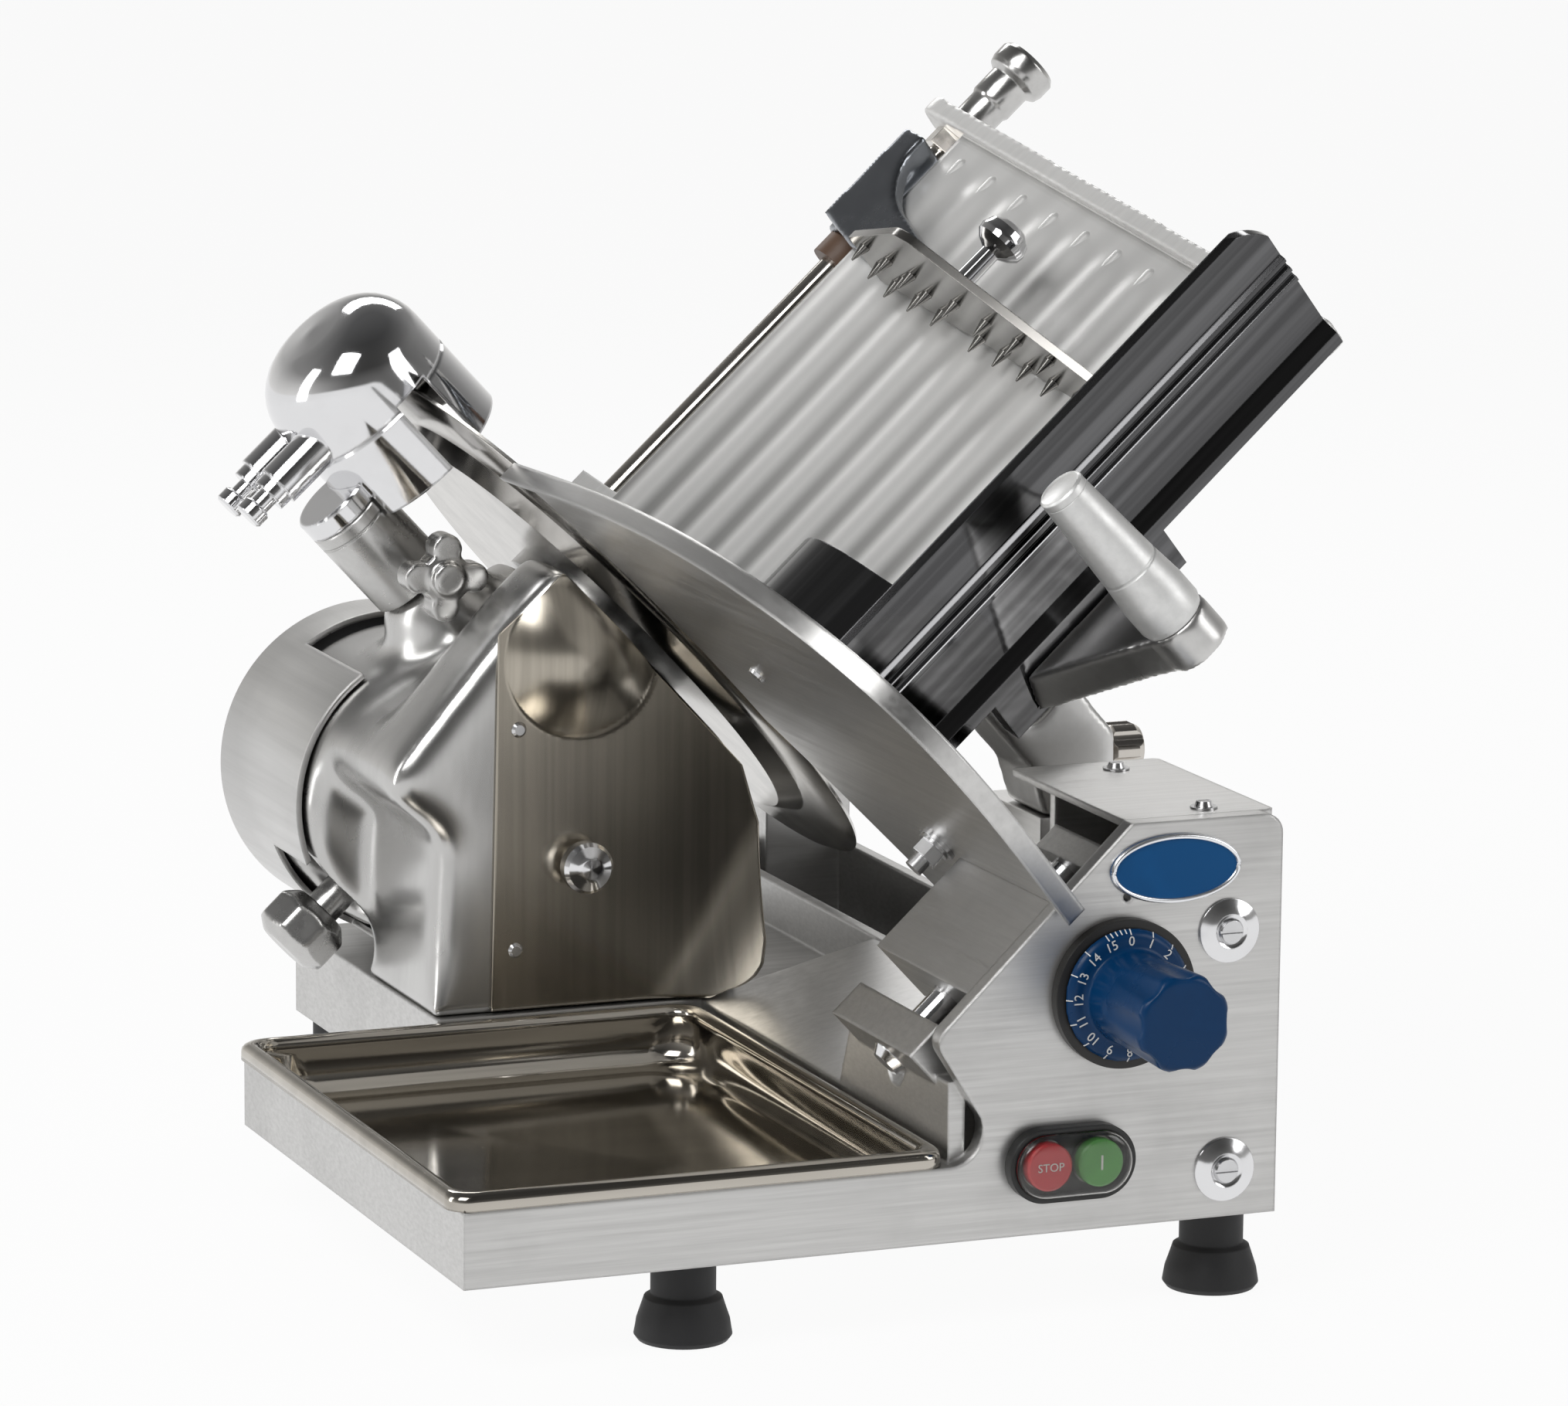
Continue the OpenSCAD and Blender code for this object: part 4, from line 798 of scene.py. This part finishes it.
class SLICER_OT_dial(SlicerOperator, bpy.types.Operator):
    """Blue dial with white numbers and ticks on its skirt"""
    bl_idname = "slicer.dial"
    bl_label = "Dial"

    def execute(self, context):
        c, s = self.colours, self.sizes
        paint(moulded("dial ring plastic", (0.014, 0.013, 0.012), 0.45, edge=0.0008), "dial_ring")
        softened("dial_knob", 0.0008, 9, moulded("dial blue", c.blue, 0.30, 500, 1e-5, gloss=0.22), "dial_soft")
        paint(plated("dial shaft steel", c.chrome, 0.25), "dial_shaft")
        ink = moulded("marking white", (0.80, 0.80, 0.79), 0.5)
        low, high = (Vector(v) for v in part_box("dial_ring"))
        middle = np.array([(low.x + high.x) / 2, high.y, (low.z + high.z) / 2])
        count, fine, half_tick, tick_deep = 16, 4, 0.00022, 0.0004
        numeral_at, tick_from, fine_from, tick_to = 0.0222, 0.0248, 0.0254, 0.0268
        numeral_out, tick_out, rim_out = (np.array([0, -v, 0]) for v in (0.00925, 0.0089, 0.0070))
        pitch = 2 * math.pi / count
        marks = []
        for k in range(count):
            u = np.array([math.sin(k * pitch), 0, math.cos(k * pitch)])
            t = np.array([math.cos(k * pitch), 0, -math.sin(k * pitch)])
            marks.append(letters(str(k), s.numeral, middle + numeral_at * u + numeral_out, t, u, 0.0001))
        keep(joined("dial_numbers", marks, ink), "dial", "blue_plastic")
        turns = np.concatenate([np.arange(count), count - 1 + np.arange(1, fine + 1) / (fine + 1)]) * pitch
        inner = np.concatenate([np.full(count, tick_from), np.full(fine, fine_from)])
        edge = np.stack([np.sin(turns), 0 * turns, np.cos(turns)], -1)
        across = np.stack([np.cos(turns), 0 * turns, -np.sin(turns)], -1) * half_tick
        start = middle + edge * inner[:, None] + tick_out
        stop = middle + edge * tick_to + rim_out
        keep(joined("dial_ticks", bars(start, stop, across, [0, tick_deep, 0]), ink), "dial", "blue_plastic")
        return {"FINISHED"}


class SLICER_OT_badge(SlicerOperator, bpy.types.Operator):
    """Blank oval badge with a bright rim"""
    bl_idname = "slicer.badge"
    bl_label = "Badge"

    def execute(self, context):
        paint(moulded("badge blue", (0.001, 0.080, 0.245), 0.40, 300, 1e-5, gloss=0.22), "badge_plate")
        low, high = (np.array(v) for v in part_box("badge_plate"))
        half, middle = (high - low) / 2, (high + low) / 2
        steps, sunk = 96, 0.0002
        a = np.linspace(0, 2 * np.pi, steps, endpoint=False)
        inset = self.sizes.badge_rim * 0.8
        path = np.stack([middle[0] + (half[0] - inset) * np.cos(a), np.full(steps, low[1] + sunk),
                         middle[2] + (half[2] - inset) * np.sin(a)], -1)
        rim = surface("badge_rim", tube(path, self.sizes.badge_rim), ring=True, loop=True,
                      mat=plated("badge rim", (0.82, 0.83, 0.85), 0.25))
        keep(rim, "base", "chrome_parts")
        return {"FINISHED"}


class SLICER_OT_switch(SlicerOperator, bpy.types.Operator):
    """Red and green push buttons under a clear boot in a black oval bezel"""
    bl_idname = "slicer.switch"
    bl_label = "Switch"

    def execute(self, context):
        c = self.colours
        paint(moulded("bezel plastic", (0.012, 0.012, 0.012), 0.40, edge=0.0015), "switch_plate")
        paint(moulded("stop red", c.red, 0.35, 400, 1e-5, 0.0006), "stop_button")
        paint(moulded("start green", c.green, 0.35, 400, 1e-5, 0.0006), "start_button")
        ink = moulded("button marking", (0.80, 0.80, 0.78), 0.5)
        right, up = np.array([1.0, 0, 0]), np.array([0, 0, 1.0])
        for node, words in (("stop_button", "STOP"), ("start_button", "I")):
            low, high = (np.array(v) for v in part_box(node))
            spot = np.array([(low[0] + high[0]) / 2, low[1] - 0.0001, (low[2] + high[2]) / 2])
            size = 0.0034 if len(words) > 1 else 0.0062
            mark = joined(node + "_mark", [letters(words, size, spot, right, up, 0.0001)], ink)
            keep(mark, BODY_OF[node], "black_plastic")
        self.boot()
        return {"FINISHED"}

    def boot(self):
        """Clear boot: ovals drawn in and forward along a quarter of a superellipse over the bezel."""
        rows, sides, room, rim, sunk, least = 14, 72, 0.0022, 0.0022, 0.0003, 0.02
        low, high = (np.array(v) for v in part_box("switch_plate"))
        front = min(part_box("stop_button")[0][1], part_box("start_button")[0][1]) - room
        middle, half = (low + high) / 2, (high - low) / 2
        t = np.linspace(0, np.pi / 2, rows)
        drawn = np.sin(t) ** 0.5
        r = (half[2] - rim) * np.maximum(np.cos(t) ** 0.5, least)
        flat = half[0] - half[2]
        a = np.linspace(0, 2 * np.pi, sides, endpoint=False)
        x = middle[0] + flat * np.sign(np.cos(a)) * np.ones((rows, 1)) + r[:, None] * np.cos(a)
        z = middle[2] + r[:, None] * np.sin(a)
        y = low[1] + sunk + (front - low[1] - sunk) * drawn[:, None] * np.ones(sides)
        f = Finish("clear boot", (0.90, 0.89, 0.87), 0.12, 0.0)
        f.skin.inputs["Transmission Weight"].default_value = 1.0
        f.skin.inputs["IOR"].default_value = 1.40
        haze = f.noise(120.0, detail=3.0)
        f.dull(f.span(haze, 0.4, 0.7, 0.0, 0.15))
        boot = surface("switch_boot", np.stack([x, y, z], -1), ring=True, lid=True, mat=f.done())
        keep(walled(boot, 0.0005), "base", "black_plastic")


class SLICER_OT_tray(SlicerOperator, bpy.types.Operator):
    """Pressed catch tray with a rolled lip and rounded corners"""
    bl_idname = "slicer.tray"
    bl_label = "Catch tray"

    def execute(self, context):
        """Rounded rectangles from the lip's skirt over its roll, down the wall and round a fillet to the floor."""
        low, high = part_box("catch_tray")
        roll, fillet, lip_corner, wall_corner, floor_corner = self.sizes.tray_roll, 0.010, 0.010, 0.016, 0.020
        outer = np.array([low[0], high[0], low[1], high[1]])
        deep = np.array([low[0] + 0.0125, high[0] - 0.0035, low[1] + 0.0115, high[1] - 0.0045])
        inward = np.array([1, -1, 1, -1])
        top, floor = high[2], low[2] + 0.0016
        foot = top - 0.0072
        a = np.linspace(0, np.pi, 9)
        over = [(*(outer + inward * roll * (1 - np.cos(t))), top - roll + roll * np.sin(t), lip_corner) for t in a]
        skirt = [(*outer, foot, lip_corner), (*outer, top - roll - 0.001, lip_corner)]
        ledge = [(*(outer + inward * 2 * roll), foot + 0.0022, 0.009)]
        b = np.linspace(0, np.pi / 2, 7)
        lead = [(*deep, foot - 0.0005, wall_corner)]
        bend = [(*(deep + inward * fillet * (1 - np.cos(t))), floor + fillet * (1 - np.sin(t)), floor_corner)
                for t in b]
        rows = np.array(skirt + over + ledge + lead + bend)
        mat = polished("tray steel", (0.49, 0.46, 0.41), 0.10, (5, 60, 60), streak_mix=0.3)
        tray = surface("tray_pressed", rounded_rings(rows), ring=True, lid=True, mat=mat)
        keep(walled(tray, 0.0012), "tray", "stainless", "catch_tray")
        return {"FINISHED"}


class SLICER_PT_panel(bpy.types.Panel):
    """Lists the slicer's pieces"""
    bl_idname = "SLICER_PT_panel"
    bl_label = "Food Slicer"
    bl_space_type = "VIEW_3D"
    bl_region_type = "UI"
    bl_category = "Slicer"

    def draw(self, context):
        for group in (context.scene.slicer_colours, context.scene.slicer_sizes):
            for name in group.__annotations__:
                self.layout.prop(group, name)
        for step in STEPS:
            self.layout.operator(step.bl_idname)


STEPS = (SLICER_OT_stage, SLICER_OT_base, SLICER_OT_column, SLICER_OT_knife, SLICER_OT_deflector, SLICER_OT_chute,
         SLICER_OT_pusher, SLICER_OT_sharpener, SLICER_OT_dial, SLICER_OT_badge, SLICER_OT_switch, SLICER_OT_tray)
CLASSES = (SlicerColours, SlicerSizes, *STEPS, SLICER_PT_panel)


def register():
    """Adds the classes and the scene's settings."""
    for cls in CLASSES:
        bpy.utils.register_class(cls)
    bpy.types.Scene.slicer_colours = bpy.props.PointerProperty(type=SlicerColours)
    bpy.types.Scene.slicer_sizes = bpy.props.PointerProperty(type=SlicerSizes)


def unregister():
    """Removes what register added."""
    del bpy.types.Scene.slicer_sizes
    del bpy.types.Scene.slicer_colours
    for cls in reversed(CLASSES):
        bpy.utils.unregister_class(cls)


def main():
    """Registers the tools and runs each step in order."""
    register()
    for step in STEPS:
        group, name = step.bl_idname.split(".")
        getattr(getattr(bpy.ops, group), name)()


if __name__ == "__main__":
    main()
